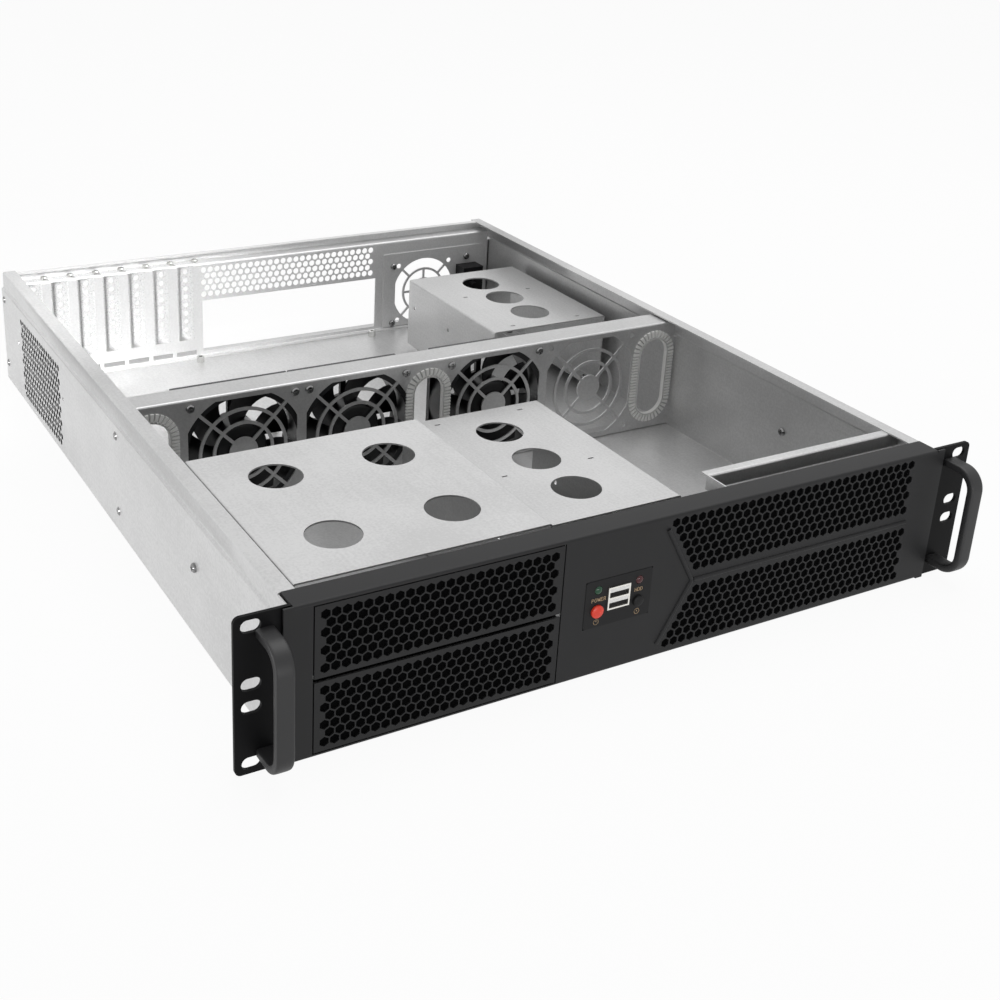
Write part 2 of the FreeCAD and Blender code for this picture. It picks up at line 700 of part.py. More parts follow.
def make_slot_cover(x):
    """One expansion slot cover: a perforated strip whose top folds back over the ledge."""
    path = [
        (REAR_IN, COVER_BOTTOM),
        (REAR_IN, LEDGE_Z),
        (REAR_IN + TAB_DEPTH, LEDGE_Z),
    ]
    cover = folded(path, COVER_SHEET, "x", x - COVER_WIDTH / 2, x + COVER_WIDTH / 2)
    wide = box(
        x - TAB_WIDTH / 2,
        x + TAB_WIDTH / 2,
        REAR_IN + SHEET,
        REAR_IN + TAB_DEPTH,
        LEDGE_Z,
        LEDGE_Z + COVER_SHEET,
    )
    cover = cover.fuse(wide).removeSplitter()
    tools = []
    for i in range(COVER_HOLES):
        z = COVER_HOLE_TOP - i * COVER_HOLE_PITCH
        tools.append(hexagon(x, REAR_IN, z, COVER_HOLE, 3, "y"))
    return cut_all(cover, tools)


def make_cover_screws():
    """The screws between the slot covers, whose heads hold the edges of the tabs down."""
    screws = []
    for x in SLOT_X:
        seat = LEDGE_Z + COVER_SHEET
        screws.append(pan_screw(x + SLOT_PITCH / 2, COVER_SCREW_Y, seat, V(0, 0, -1), COVER_SCREW_LENGTH))
    return Part.makeCompound(screws)


def make_psu_plate():
    """The exchangeable plate over the power supply opening, with a fan grille and an inlet hole."""
    front = REAR_IN - SHEET
    plate = box(PSU_PLATE_LEFT, PSU_PLATE_RIGHT, front, REAR_IN, PSU_PLATE_BOTTOM, PSU_PLATE_TOP)
    centre = V(PSU_FAN_X, front - 1, PSU_FAN_Z)
    hole = rod(PSU_GRILLE_DIAMETER, centre, 3)
    small, large = PSU_GRILLE_RINGS
    for radius in PSU_GRILLE_RINGS:
        hole = hole.cut(ring(PSU_FAN_X, front - 1, PSU_FAN_Z, radius, PSU_GRILLE_BAR, 3))
    for turn in (0, 90, 180, 270):
        for start, end, lean in ((large, PSU_GRILLE_DIAMETER, 45), (small, large, 0)):
            bar = spoke(PSU_FAN_X, front - 1, PSU_FAN_Z, start, end, PSU_GRILLE_BAR, turn + lean)
            hole = hole.cut(bar)
    tools = [hole]
    for sx in (-1, 1):
        for sz in (-1, 1):
            place = V(PSU_FAN_X + sx * PSU_FAN_HOLES / 2, front - 1, PSU_FAN_Z + sz * PSU_FAN_HOLES / 2)
            tools.append(rod(FAN_HOLE, place, 3))
    tools.append(
        box(
            INLET_X - INLET_WIDTH / 2 - FIT,
            INLET_X + INLET_WIDTH / 2 + FIT,
            front - 1,
            front + 2,
            INLET_Z - INLET_HEIGHT / 2 - FIT,
            INLET_Z + INLET_HEIGHT / 2 + FIT,
        )
    )
    for sz in (-1, 1):
        tools.append(rod(SCREW_SHANK, V(INLET_X, front - 1, INLET_Z + sz * INLET_SCREWS / 2), 3))
    for z in PSU_SCREW_Z:
        tools.append(rod(SCREW_SHANK, V(PSU_SCREW_X, front - 1, z), 3))
    return cut_all(plate, tools)


def ring(x, y, z, radius, bar, depth):
    """A flat ring about the Y axis, of the given middle radius and width."""
    outer = rod(2 * radius + bar, V(x, y, z), depth)
    return outer.cut(rod(2 * radius - bar, V(x, y - 1, z), depth + 2))


def spoke(x, y, z, start, end, bar, degrees):
    """A straight bar that runs out from a centre between two radii."""
    bar_shape = box(start, end, 0, 3, -bar / 2, bar / 2)
    bar_shape.rotate(V(0, 0, 0), V(0, 1, 0), -degrees)
    bar_shape.translate(V(x, y, z))
    return bar_shape


def make_psu_plate_screws():
    """The screws that hold the exchangeable plate to the rear panel."""
    seat = REAR_IN - SHEET
    screws = [pan_screw(PSU_SCREW_X, seat, z, V(0, 1, 0), PSU_SCREW_LENGTH) for z in PSU_SCREW_Z]
    return Part.makeCompound(screws)


def make_inlet():
    """The mains inlet: a moulded socket with three pins, its flange behind the plate."""
    face = REAR_IN
    flange = prism(
        [
            V(INLET_X - INLET_FLANGE_WIDTH / 2, face, INLET_Z - INLET_HEIGHT / 2),
            V(INLET_X - INLET_EAR / 2, face, INLET_Z - INLET_FLANGE_HEIGHT / 2),
            V(INLET_X + INLET_EAR / 2, face, INLET_Z - INLET_FLANGE_HEIGHT / 2),
            V(INLET_X + INLET_FLANGE_WIDTH / 2, face, INLET_Z - INLET_HEIGHT / 2),
            V(INLET_X + INLET_FLANGE_WIDTH / 2, face, INLET_Z + INLET_HEIGHT / 2),
            V(INLET_X + INLET_EAR / 2, face, INLET_Z + INLET_FLANGE_HEIGHT / 2),
            V(INLET_X - INLET_EAR / 2, face, INLET_Z + INLET_FLANGE_HEIGHT / 2),
            V(INLET_X - INLET_FLANGE_WIDTH / 2, face, INLET_Z + INLET_HEIGHT / 2),
        ],
        V(0, INLET_FLANGE_THICK, 0),
    )
    body = box(
        INLET_X - INLET_WIDTH / 2,
        INLET_X + INLET_WIDTH / 2,
        face + INLET_FLANGE_THICK - INLET_DEPTH,
        face + INLET_FLANGE_THICK,
        INLET_Z - INLET_HEIGHT / 2,
        INLET_Z + INLET_HEIGHT / 2,
    )
    well = box(
        INLET_X - INLET_WIDTH / 2 + INLET_WALL,
        INLET_X + INLET_WIDTH / 2 - INLET_WALL,
        face + INLET_FLANGE_THICK - INLET_DEPTH + INLET_WALL,
        face + INLET_FLANGE_THICK + 1,
        INLET_Z - INLET_HEIGHT / 2 + INLET_WALL,
        INLET_Z + INLET_HEIGHT / 2 - INLET_WALL,
    )
    shape = flange.fuse(body).cut(well)
    back = face + INLET_FLANGE_THICK - INLET_DEPTH
    for dx, dz in ((0, 0), (INLET_PIN_OUT, INLET_PIN_PITCH), (INLET_PIN_OUT, -INLET_PIN_PITCH)):
        pin = box(
            INLET_X - INLET_PIN_OUT / 2 + dx - INLET_PIN_WIDE / 2,
            INLET_X - INLET_PIN_OUT / 2 + dx + INLET_PIN_WIDE / 2,
            back - INLET_TERMINAL,
            back + PIN_LENGTH,
            INLET_Z + dz - INLET_PIN_THICK / 2,
            INLET_Z + dz + INLET_PIN_THICK / 2,
        )
        shape = shape.fuse(pin)
    holes = []
    for sz in (-1, 1):
        place = V(INLET_X, face - 1, INLET_Z + sz * INLET_SCREWS / 2)
        holes.append(rod(SCREW_SHANK, place, INLET_FLANGE_THICK + 2))
    return cut_all(shape.removeSplitter(), holes)


def make_inlet_screws():
    """The two screws that hold the mains inlet, their heads on the inside."""
    screws = []
    for sz in (-1, 1):
        place = (INLET_X, REAR_IN - SHEET, INLET_Z + sz * INLET_SCREWS / 2)
        screws.append(pan_screw(*place, V(0, 1, 0), SHEET + INLET_FLANGE_THICK))
    return Part.makeCompound(screws)


# ---------------------------------------------------------------- fan wall and fans
def make_fan_wall():
    """The partition that carries the fans: four punched grilles and three cable holes."""
    path = [
        (FAN_WALL_Y + FAN_WALL_FLANGE, FAN_WALL_TOP),
        (FAN_WALL_Y, FAN_WALL_TOP),
        (FAN_WALL_Y, FLOOR),
        (FAN_WALL_Y + FAN_WALL_FOOT, FLOOR),
    ]
    wall = folded(path, SHEET, "x", -WALL_IN, WALL_IN)
    wall = cut_all(wall, corner_reliefs(FAN_WALL_Y - 1, FAN_WALL_Y + FAN_WALL_FLANGE + 1))
    high = JOGGLE_Z - 2 * JOGGLE
    for side in (-1, 1):
        wall = wall.fuse(side_flange(side, FAN_WALL_Y, FAN_WALL_SIDE, FLOOR + 2 * SHEET, high))
    tools = []
    for x in FAN_X:
        tools.append(make_grille_opening(x))
        for sx in (-1, 1):
            for sz in (-1, 1):
                tools.append(fan_corner_hole(x, sx, sz, FAN_WALL_Y - 1, 3))
    for _name, x, width in CABLE_HOLES:
        tools.append(oblong(x, FAN_CENTRE_Z, width, CABLE_HOLE_HEIGHT, FAN_WALL_Y - 1, FAN_WALL_Y + 2))
    for side, y, z in SIDE_RIVETS:
        if FAN_WALL_Y < y < REAR_IN:
            tools.append(rod(RIVET_SHANK, V(side * HALF, y, z), 3 * SHEET, V(-side, 0, 0)))
    return cut_all(wall, tools)


def fan_corner_hole(x, sx, sz, start, length):
    """The drill for one of a fan's four corner holes."""
    return rod(FAN_HOLE, V(x + sx * FAN_HOLES / 2, start, FAN_CENTRE_Z + sz * FAN_HOLES / 2), length)


def make_grille_opening(x):
    """What is punched out in front of one fan, leaving a hub, two rings and four diagonal spokes."""
    front = FAN_WALL_Y - 1
    half = GRILLE_ACROSS / 2
    centre = V(x, front, FAN_CENTRE_Z)
    hole = rod(GRILLE_DIAMETER, centre, 3)
    hole = hole.common(box(x - half, x + half, front, front + 3, FAN_CENTRE_Z - half, FAN_CENTRE_Z + half))
    hole = hole.cut(rod(2 * GRILLE_HUB, centre, 3))
    for radius in GRILLE_RINGS:
        hole = hole.cut(ring(x, front, FAN_CENTRE_Z, radius, GRILLE_BAR, 3))
    for quarter in range(4):
        hole = hole.cut(spoke(x, front, FAN_CENTRE_Z, 0, GRILLE_DIAMETER, GRILLE_BAR, 45 + 90 * quarter))
    return hole


def make_edging(x, width):
    """Edging that grips the rim of one cable hole: a broad front lip, a collar and a rear lip."""
    inner = CABLE_HOLE_HEIGHT - 2 * EDGING_THICK
    clear = oblong(x, FAN_CENTRE_Z, width - 2 * EDGING_THICK, inner, FAN_WALL_Y - 5, FAN_FRONT + 5)
    start = FAN_WALL_Y - EDGING_THICK
    front = oblong(
        x,
        FAN_CENTRE_Z,
        width + 2 * EDGING_BAND,
        CABLE_HOLE_HEIGHT + 2 * EDGING_BAND,
        start,
        FAN_WALL_Y,
    )
    collar = oblong(x, FAN_CENTRE_Z, width, CABLE_HOLE_HEIGHT, start, FAN_FRONT + EDGING_THICK)
    rear = oblong(
        x,
        FAN_CENTRE_Z,
        width + 2 * EDGING_REAR_LIP,
        CABLE_HOLE_HEIGHT + 2 * EDGING_REAR_LIP,
        FAN_FRONT,
        FAN_FRONT + EDGING_THICK,
    )
    return front.fuse([collar, rear]).cut(clear).removeSplitter()


def make_fan_frame(x):
    """A fan's frame: two square flanges joined by a barrel, with a motor plate on struts."""
    rear = FAN_FRONT + FAN_DEPTH
    half = FAN_SIZE / 2
    bore = FAN_SIZE - 2 * FAN_BARREL_WALL
    shape = rod(FAN_SIZE - 2 * FIT, V(x, FAN_FRONT, FAN_CENTRE_Z), FAN_DEPTH)
    for start in (FAN_FRONT, rear - FAN_FLANGE):
        flange = box(x - half, x + half, start, start + FAN_FLANGE, FAN_CENTRE_Z - half, FAN_CENTRE_Z + half)
        shape = shape.fuse(flange)
    shape = shape.cut(rod(bore, V(x, FAN_FRONT - 1, FAN_CENTRE_Z), FAN_DEPTH + 2))
    plate = rod(HUB_DIAMETER, V(x, rear - MOTOR_PLATE, FAN_CENTRE_Z), MOTOR_PLATE)
    shape = shape.fuse(plate)
    for i in range(STRUTS):
        outer = (bore + FAN_BARREL_WALL) / 2
        strut = spoke(x, 0, FAN_CENTRE_Z, HUB_DIAMETER / 2 - 1, outer, STRUT_WIDTH, 360 / STRUTS * i)
        strut.translate(V(0, rear - MOTOR_PLATE, 0))
        shape = shape.fuse(strut)
    bearing = SHAFT_DIAMETER + 2 * SHAFT_FIT
    length = rear - BEARING_FRONT
    post = rod(bearing + 2 * BEARING_WALL, V(x, BEARING_FRONT, FAN_CENTRE_Z), length)
    shape = shape.fuse(post)
    tools = [rod(bearing, V(x, BEARING_FRONT - 1, FAN_CENTRE_Z), length)]
    for sx in (-1, 1):
        for sz in (-1, 1):
            tools.append(fan_corner_hole(x, sx, sz, FAN_FRONT - 1, FAN_FLANGE + 2))
            tools.append(fan_corner_hole(x, sx, sz, rear - FAN_FLANGE - 1, FAN_FLANGE + 2))
    return cut_all(shape.removeSplitter(), tools)


def make_rotor(x):
    """A fan's rotor: a cup-shaped hub with curved blades, and the shaft in its middle."""
    front = FAN_FRONT + HUB_SETBACK
    hub = rod(HUB_DIAMETER, V(x, front, FAN_CENTRE_Z), HUB_DEPTH)
    hub = hub.cut(rod(HUB_DIAMETER - 2 * HUB_WALL, V(x, front + HUB_WALL, FAN_CENTRE_Z), HUB_DEPTH))
    shaft_end = FAN_FRONT + FAN_DEPTH - MOTOR_PLATE / 2
    shape = hub.fuse(rod(SHAFT_DIAMETER, V(x, front, FAN_CENTRE_Z), shaft_end - front))
    tip = FAN_SIZE / 2 - FAN_BARREL_WALL - FAN_TIP_GAP
    for i in range(BLADES):
        blade = make_blade(HUB_DIAMETER / 2 - HUB_WALL / 2, tip)
        blade.rotate(V(0, 0, 0), V(0, 1, 0), 360 / BLADES * i)
        blade.translate(V(x, front + HUB_DEPTH / 2, FAN_CENTRE_Z))
        shape = shape.fuse(blade)
    return shape.removeSplitter()


def make_blade(root, tip):
    """A twisted blade along +X: a ruled solid between a steep root section and a flatter tip."""
    wires = []
    for radius, angle, chord in (
        (root, BLADE_ROOT_ANGLE, BLADE_ROOT_CHORD),
        (tip, BLADE_TIP_ANGLE, BLADE_TIP_CHORD),
    ):
        along = V(0, math.sin(math.radians(angle)), math.cos(math.radians(angle)))
        across = V(0, -along.z, along.y)
        corners = []
        for su, sv in ((-1, -1), (1, -1), (1, 1), (-1, 1)):
            corners.append(V(radius, 0, 0) + along * (su * chord / 2) + across * (sv * BLADE_THICK / 2))
        wires.append(Part.makePolygon(corners + corners[:1]))
    blade = Part.makeLoft(wires, True, True)
    swept = rod(2 * tip, V(0, -HUB_DEPTH / 2, 0), HUB_DEPTH)
    return blade.common(swept)


def make_fan_screws():
    """The screws that pass through the fan wall into the corners of the fans."""
    screws = []
    for x in FAN_X[:FANS]:
        for sx in (-1, 1):
            for sz in (-1, 1):
                place = (x + sx * FAN_HOLES / 2, FAN_WALL_Y, FAN_CENTRE_Z + sz * FAN_HOLES / 2)
                screws.append(pan_screw(*place, V(0, 1, 0), SHEET + FAN_FLANGE))
    return Part.makeCompound(screws)


# ---------------------------------------------------------------- drive and power supply cages
def make_drive_cage(x, inner, front, depth, top, holes, side_holes, slits=()):
    """An upturned channel with feet, its top plate pierced by large round holes and small slits."""
    wall = x - inner / 2
    opposite = x + inner / 2
    path = [
        (wall - SHEET - CAGE_FOOT, FLOOR),
        (wall, FLOOR),
        (wall, top - SHEET),
        (opposite, top - SHEET),
        (opposite, FLOOR),
        (opposite + SHEET + CAGE_FOOT, FLOOR),
    ]
    cage = folded(path, SHEET, "y", front, front + depth)
    tools = [rod(CAGE_HOLE, V(hx, hy, top - 3), 5, V(0, 0, 1)) for hx, hy in holes]
    for y, z in side_holes:
        tools.append(rod(SCREW_HOLE, V(wall - 3, y, z), 6, V(1, 0, 0)))
        tools.append(rod(SCREW_HOLE, V(opposite - 3, y, z), 6, V(1, 0, 0)))
    for place in slits:
        tools.append(slit(*place, top))
    for fx, fy in cage_feet(x, inner, front, depth):
        tools.append(rod(RIVET_SHANK, V(fx, fy, FLOOR - 1), 3, V(0, 0, 1)))
    return cut_all(cage, tools)


def slit(x, y, top):
    """The punch for one small slit in a cage's top plate."""
    half = SLIT_WIDTH / 2
    return box(x - SLIT_LENGTH / 2, x + SLIT_LENGTH / 2, y - half, y + half, top - 3, top + 1)


def make_bay_cage():
    """The cage for two wide drives behind the upper and lower front covers."""
    middle = BAY_CAGE_FRONT + BAY_CAGE_DEPTH / 2
    holes = []
    for sx in (-1, 1):
        for sy in (-1, 1):
            holes.append((BAY_CAGE_X + sx * BAY_HOLE_PITCH_X / 2, middle + sy * BAY_HOLE_PITCH_Y / 2))
    side_holes = [(BAY_CAGE_FRONT + back, z) for back in BAY_SCREW_BACK for z in BAY_SCREW_Z]
    return make_drive_cage(
        BAY_CAGE_X, BAY_CAGE_INNER, BAY_CAGE_FRONT, BAY_CAGE_DEPTH, BAY_CAGE_TOP, holes, side_holes
    )


def make_disk_cage():
    """The lower cage for two hard disks."""
    middle = DISK_CAGE_FRONT + DISK_CAGE_DEPTH / 2
    holes = [(DISK_CAGE_X, middle + i * DISK_HOLE_PITCH) for i in (-1, 0, 1)]
    side_holes = [(DISK_CAGE_FRONT + back, z) for back in DISK_SCREW_BACK for z in DISK_SCREW_Z]
    slits = [(DISK_CAGE_X + s * DISK_SLIT_OUT, DISK_CAGE_FRONT + b) for s in (-1, 1) for b in DISK_SLIT_BACK]
    return make_drive_cage(
        DISK_CAGE_X,
        DISK_CAGE_INNER,
        DISK_CAGE_FRONT,
        DISK_CAGE_DEPTH,
        DISK_CAGE_TOP,
        holes,
        side_holes,
        slits,
    )


def make_psu_cage():
    """The cage that holds the power supply, open in front and behind, its flanges turned in."""
    half = PSU_CAGE_INNER / 2 + SHEET
    low = FLOOR + PSU_CAGE_LIFT
    lip = PSU_CAGE_INNER / 2 - PSU_CAGE_FLANGE
    path = [
        (PSU_CAGE_X + lip, low),
        (PSU_CAGE_X + half, low),
        (PSU_CAGE_X + half, PSU_CAGE_TOP),
        (PSU_CAGE_X - half, PSU_CAGE_TOP),
        (PSU_CAGE_X - half, low),
        (PSU_CAGE_X - lip, low),
    ]
    cage = folded(path, SHEET, "y", PSU_CAGE_FRONT, PSU_CAGE_FRONT + PSU_CAGE_DEPTH)
    middle = PSU_CAGE_FRONT + PSU_CAGE_DEPTH / 2
    tools = []
    for i in (-1, 0, 1):
        place = V(PSU_CAGE_X, middle + i * PSU_HOLE_PITCH, PSU_CAGE_TOP - 3)
        tools.append(rod(CAGE_HOLE, place, 5, V(0, 0, 1)))
    for side in (-1, 1):
        for back in PSU_SLIT_BACK:
            tools.append(slit(PSU_CAGE_X + side * PSU_SLIT_OUT, PSU_CAGE_FRONT + back, PSU_CAGE_TOP))
    for back in PSU_SIDE_HOLE_BACK:
        place = V(PSU_CAGE_X - half - 1, PSU_CAGE_FRONT + back, PSU_SIDE_HOLE_Z)
        tools.append(rod(SCREW_HOLE, place, 3, V(1, 0, 0)))
    for x, y in PSU_POSTS:
        tools.append(rod(SCREW_SHANK, V(x, y, low - 1), 3, V(0, 0, 1)))
    return cut_all(cage, tools)


def make_posts(places, height):
    """Six-sided threaded posts on the floor, with a blind hole in the top of each."""
    posts = []
    for x, y in places:
        post = hexagon(x, y, FLOOR + height / 2, STANDOFF_ACROSS, height / 2, "z")
        posts.append(post.cut(rod(SCREW_SHANK, V(x, y, FLOOR + height / 2), height, V(0, 0, 1))))
    return Part.makeCompound(posts)


def make_psu_cage_screws():
    """The screws that hold the power supply cage down on its posts."""
    seat = FLOOR + PSU_CAGE_LIFT + SHEET
    screws = [pan_screw(x, y, seat, V(0, 0, -1), SHEET + PSU_CAGE_LIFT / 3) for x, y in PSU_POSTS]
    return Part.makeCompound(screws)


# ---------------------------------------------------------------- front
def make_front_panel():
    """The front panel: a folded sheet with the drive openings, the mesh, the ridges and flanges."""
    flange_half = EAR_RETURN_IN - 2 * FIT
    sheet = box(-BEZEL_HALF, BEZEL_HALF, BEZEL_FRONT, BEZEL_BACK, 0, BEZEL_HEIGHT)
    path = [
        (BEZEL_REAR, BEZEL_HEIGHT),
        (BEZEL_FRONT, BEZEL_HEIGHT),
        (BEZEL_FRONT, 0),
        (BEZEL_REAR, 0),
    ]
    channel = folded(path, BEZEL_SHEET, "x", -flange_half, flange_half)
    middle = box(-flange_half, flange_half, BEZEL_FRONT - 1, BEZEL_BACK + 1, -1, BEZEL_HEIGHT + 1)
    panel = channel.fuse(sheet.cut(middle))
    bay_right = BAY_LEFT + BAY_WIDTH
    tools = [
        box(BAY_LEFT, bay_right, BEZEL_FRONT - 1, BEZEL_BACK + 1, BAY_RAIL, BEZEL_HEIGHT - BAY_RAIL),
        box(
            PLATE_CENTRE_X - PLATE_WIDTH / 2 - FIT,
            PLATE_CENTRE_X + PLATE_WIDTH / 2 + FIT,
            BEZEL_FRONT - 1,
            BEZEL_BACK + 1,
            PLATE_CENTRE_Z - PLATE_HEIGHT / 2 - FIT,
            PLATE_CENTRE_Z + PLATE_HEIGHT / 2 + FIT,
        ),
    ]
    middle = BEZEL_HEIGHT / 2
    highest = BEZEL_HEIGHT - MESH_MARGIN
    places = honeycomb(MESH_LEFT, MESH_RIGHT, MESH_MARGIN, middle - RIDGE_INSET, MESH_PITCH, 1)
    places += honeycomb(MESH_LEFT, MESH_RIGHT, middle + RIDGE_INSET, highest, MESH_PITCH, -1)
    for x, z in places:
        tools.append(hexagon(x, BEZEL_FRONT, z, MESH_PITCH - MESH_BAR, 2 * BEZEL_SHEET, "y"))
    panel = cut_all(panel.removeSplitter(), tools)
    return panel.fuse(make_ridges()).removeSplitter()


def make_ridges():
    """The pressed ridges: an arrow beside the mesh's sloping ends, and a level one between its halves."""
    middle = BEZEL_HEIGHT / 2
    slope = (middle - MESH_MARGIN) * math.tan(math.radians(30))
    start = MESH_LEFT - MESH_MARGIN
    y0 = BEZEL_FRONT - RIDGE_HEIGHT
    half = RIDGE_WIDTH / 2
    ridge = box(start + slope, MESH_RIGHT, y0, BEZEL_FRONT, middle - half, middle + half)
    for side in (-1, 1):
        end = middle + side * (middle - MESH_MARGIN)
        arm = prism(
            [
                V(start - half, y0, end),
                V(start + half, y0, end),
                V(start + slope + half, y0, middle),
                V(start + slope - half, y0, middle),
            ],
            V(0, RIDGE_HEIGHT, 0),
        )
        ridge = ridge.fuse(arm)
    return ridge.removeSplitter()


def make_bay_cover(bottom, top):
    """A perforated drive bay cover with a flange turned back along each side."""
    left = BAY_LEFT + COVER_GAP
    right = BAY_LEFT + BAY_WIDTH - COVER_GAP
    cover = box(left, right, BEZEL_FRONT, BEZEL_BACK, bottom, top)
    for x in (left, right - BEZEL_SHEET):
        low = bottom + COVER_CLIP
        high = top - COVER_CLIP
        cover = cover.fuse(box(x, x + BEZEL_SHEET, BEZEL_FRONT, BEZEL_FRONT + COVER_RETURN, low, high))
    tools = []
    field = (left + BEZEL_SHEET, right - BEZEL_SHEET, bottom + BAY_RAIL, top - BAY_RAIL)
    for x, z in honeycomb(*field, MESH_PITCH):
        tools.append(hexagon(x, BEZEL_FRONT, z, MESH_PITCH - MESH_BAR, 2 * BEZEL_SHEET, "y"))
    return cut_all(cover.removeSplitter(), tools)


def make_filter(left, right, bottom, top):
    """A sheet of foam against the back of a perforated panel."""
    return box(left, right, BEZEL_BACK, BEZEL_BACK + FILTER_THICK, bottom, top)


def make_cover_filter(bottom, top):
    """The foam behind one drive bay cover, between its side flanges."""
    left = BAY_LEFT + COVER_GAP + BEZEL_SHEET + FIT
    right = BAY_LEFT + BAY_WIDTH - COVER_GAP - BEZEL_SHEET - FIT
    return make_filter(left, right, bottom + FILTER_EDGE, top - FILTER_EDGE)


def make_mesh_filter():
    """The foam behind the right half's mesh, notched round the bracket's foot."""
    low = BEZEL_SHEET + BEND + FILTER_EDGE
    foam = make_filter(MESH_LEFT - RIDGE_WIDTH, MESH_RIGHT + RIDGE_WIDTH, low, BEZEL_HEIGHT - low)
    notch = box(
        BRACKET_LEFT - FILTER_EDGE,
        BRACKET_LEFT + BRACKET_FOOT + FILTER_EDGE,
        BEZEL_FRONT,
        BEZEL_BACK + FILTER_THICK + 1,
        BEZEL_HEIGHT - BEZEL_SHEET - BRACKET_WEB - FILTER_EDGE,
        BEZEL_HEIGHT,
    )
    return foam.cut(notch)


def make_ear(side):
    """A rack ear: a slotted plate with rounded outer corners and a return inside the side wall."""
    outer = EAR_SPAN / 2
    plate = box(EAR_RETURN_IN, outer, 0, EAR_THICK, 0, EAR_HEIGHT)
    rims = [e for e in plate.Edges if all(abs(v.X - outer) < 1e-6 for v in e.Vertexes)]
    corners = [e for e in rims if abs(e.Vertexes[0].Y - e.Vertexes[1].Y) > 1e-6]
    plate = plate.makeFillet(min(EAR_CORNER, (outer - EAR_RETURN_IN) / 2), corners)
    low = FLOOR + 2 * SHEET
    turned = box(EAR_RETURN_IN, WALL_IN, 0, EAR_THICK + EAR_RETURN, low, JOGGLE_Z - 2 * JOGGLE)
    ear = plate.fuse(turned).removeSplitter()
    tools = []
    for z in EAR_SLOT_Z:
        tools.append(level_slot(EAR_SLOT_X, z, EAR_SLOT_WIDTH, EAR_SLOT_LENGTH, -1, EAR_THICK + 1))
    for z in (HANDLE_BOTTOM + HANDLE_THICK / 2, HANDLE_TOP - HANDLE_THICK / 2):
        tools.append(rod(HANDLE_SCREW, V(HANDLE_X, -1, z), EAR_THICK + 2))
    tools.append(box(0, BEZEL_HALF, -1, 0, 0, BEZEL_HEIGHT))
    ear = cut_all(ear, tools)
    return ear if side > 0 else ear.mirror(V(0, 0, 0), V(1, 0, 0))


def make_handle(side):
    """A bow handle bent from flat bar, standing on the front of its ear."""
    def place(p):
        return V(HANDLE_X - HANDLE_WIDTH / 2, p[0], p[1])

    path = [(0, HANDLE_BOTTOM), (-HANDLE_REACH, HANDLE_BOTTOM), (-HANDLE_REACH, HANDLE_TOP), (0, HANDLE_TOP)]
    inner = [
        (0, HANDLE_BOTTOM + HANDLE_THICK),
        (HANDLE_THICK - HANDLE_REACH, HANDLE_BOTTOM + HANDLE_THICK),
        (HANDLE_THICK - HANDLE_REACH, HANDLE_TOP - HANDLE_THICK),
        (0, HANDLE_TOP - HANDLE_THICK),
    ]
    edges = rounded_line(path, [0, HANDLE_RADIUS, HANDLE_RADIUS, 0], place)
    edges.append(Part.LineSegment(place(path[-1]), place(inner[-1])).toShape())
    tight = HANDLE_RADIUS - HANDLE_THICK
    edges += rounded_line(inner[::-1], [0, tight, tight, 0], place)
    edges.append(Part.LineSegment(place(inner[0]), place(path[0])).toShape())
    bar = Part.Face(Part.Wire(Part.__sortEdges__(edges))).extrude(V(HANDLE_WIDTH, 0, 0))
    holes = []
    for z in (HANDLE_BOTTOM + HANDLE_THICK / 2, HANDLE_TOP - HANDLE_THICK / 2):
        holes.append(rod(SCREW_SHANK, V(HANDLE_X, -HANDLE_THREAD, z), HANDLE_THREAD))
    bar = cut_all(bar, holes)
    return bar if side > 0 else bar.mirror(V(0, 0, 0), V(1, 0, 0))


def make_handle_screws():
    """The screws behind the ears that hold the handles."""
    screws = []
    length = EAR_THICK + HANDLE_THREAD / 2
    for side in (-1, 1):
        for z in (HANDLE_BOTTOM + HANDLE_THICK / 2, HANDLE_TOP - HANDLE_THICK / 2):
            screws.append(pan_screw(side * HANDLE_X, EAR_THICK, z, V(0, -1, 0), length))
    return Part.makeCompound(screws)


def make_bracket():
    """The folded bar behind the right of the front panel, with a leg at its left end."""
    top = BEZEL_HEIGHT - BEZEL_SHEET
    low = top - BRACKET_WEB
    right = STRIP_IN - FIT
    path = [
        (BRACKET_FRONT + BRACKET_FLANGE, top),
        (BRACKET_FRONT, top),
        (BRACKET_FRONT, low),
    ]
    bar = folded(path, SHEET, "x", BRACKET_LEFT, right)
    leg = box(BRACKET_LEFT, BRACKET_LEFT + SHEET, BEZEL_BACK + BEND, BRACKET_FRONT + SHEET, low, top)
    foot_right = BRACKET_LEFT + BRACKET_FOOT
    foot = box(BRACKET_LEFT, foot_right, BEZEL_BACK, BEZEL_BACK + SHEET, low, top - BEND - FIT)
    rear = BRACKET_FRONT + BRACKET_FOOT
    tab = box(right - SHEET, right, BRACKET_FRONT, rear, low, top)
    relief = box(RAIL_IN - FIT, HALF, BRACKET_FRONT - 1, rear + 1, CASE_HEIGHT - SHEET - BEND, CASE_HEIGHT)
    return bar.fuse([leg, foot, tab]).cut(relief).removeSplitter()


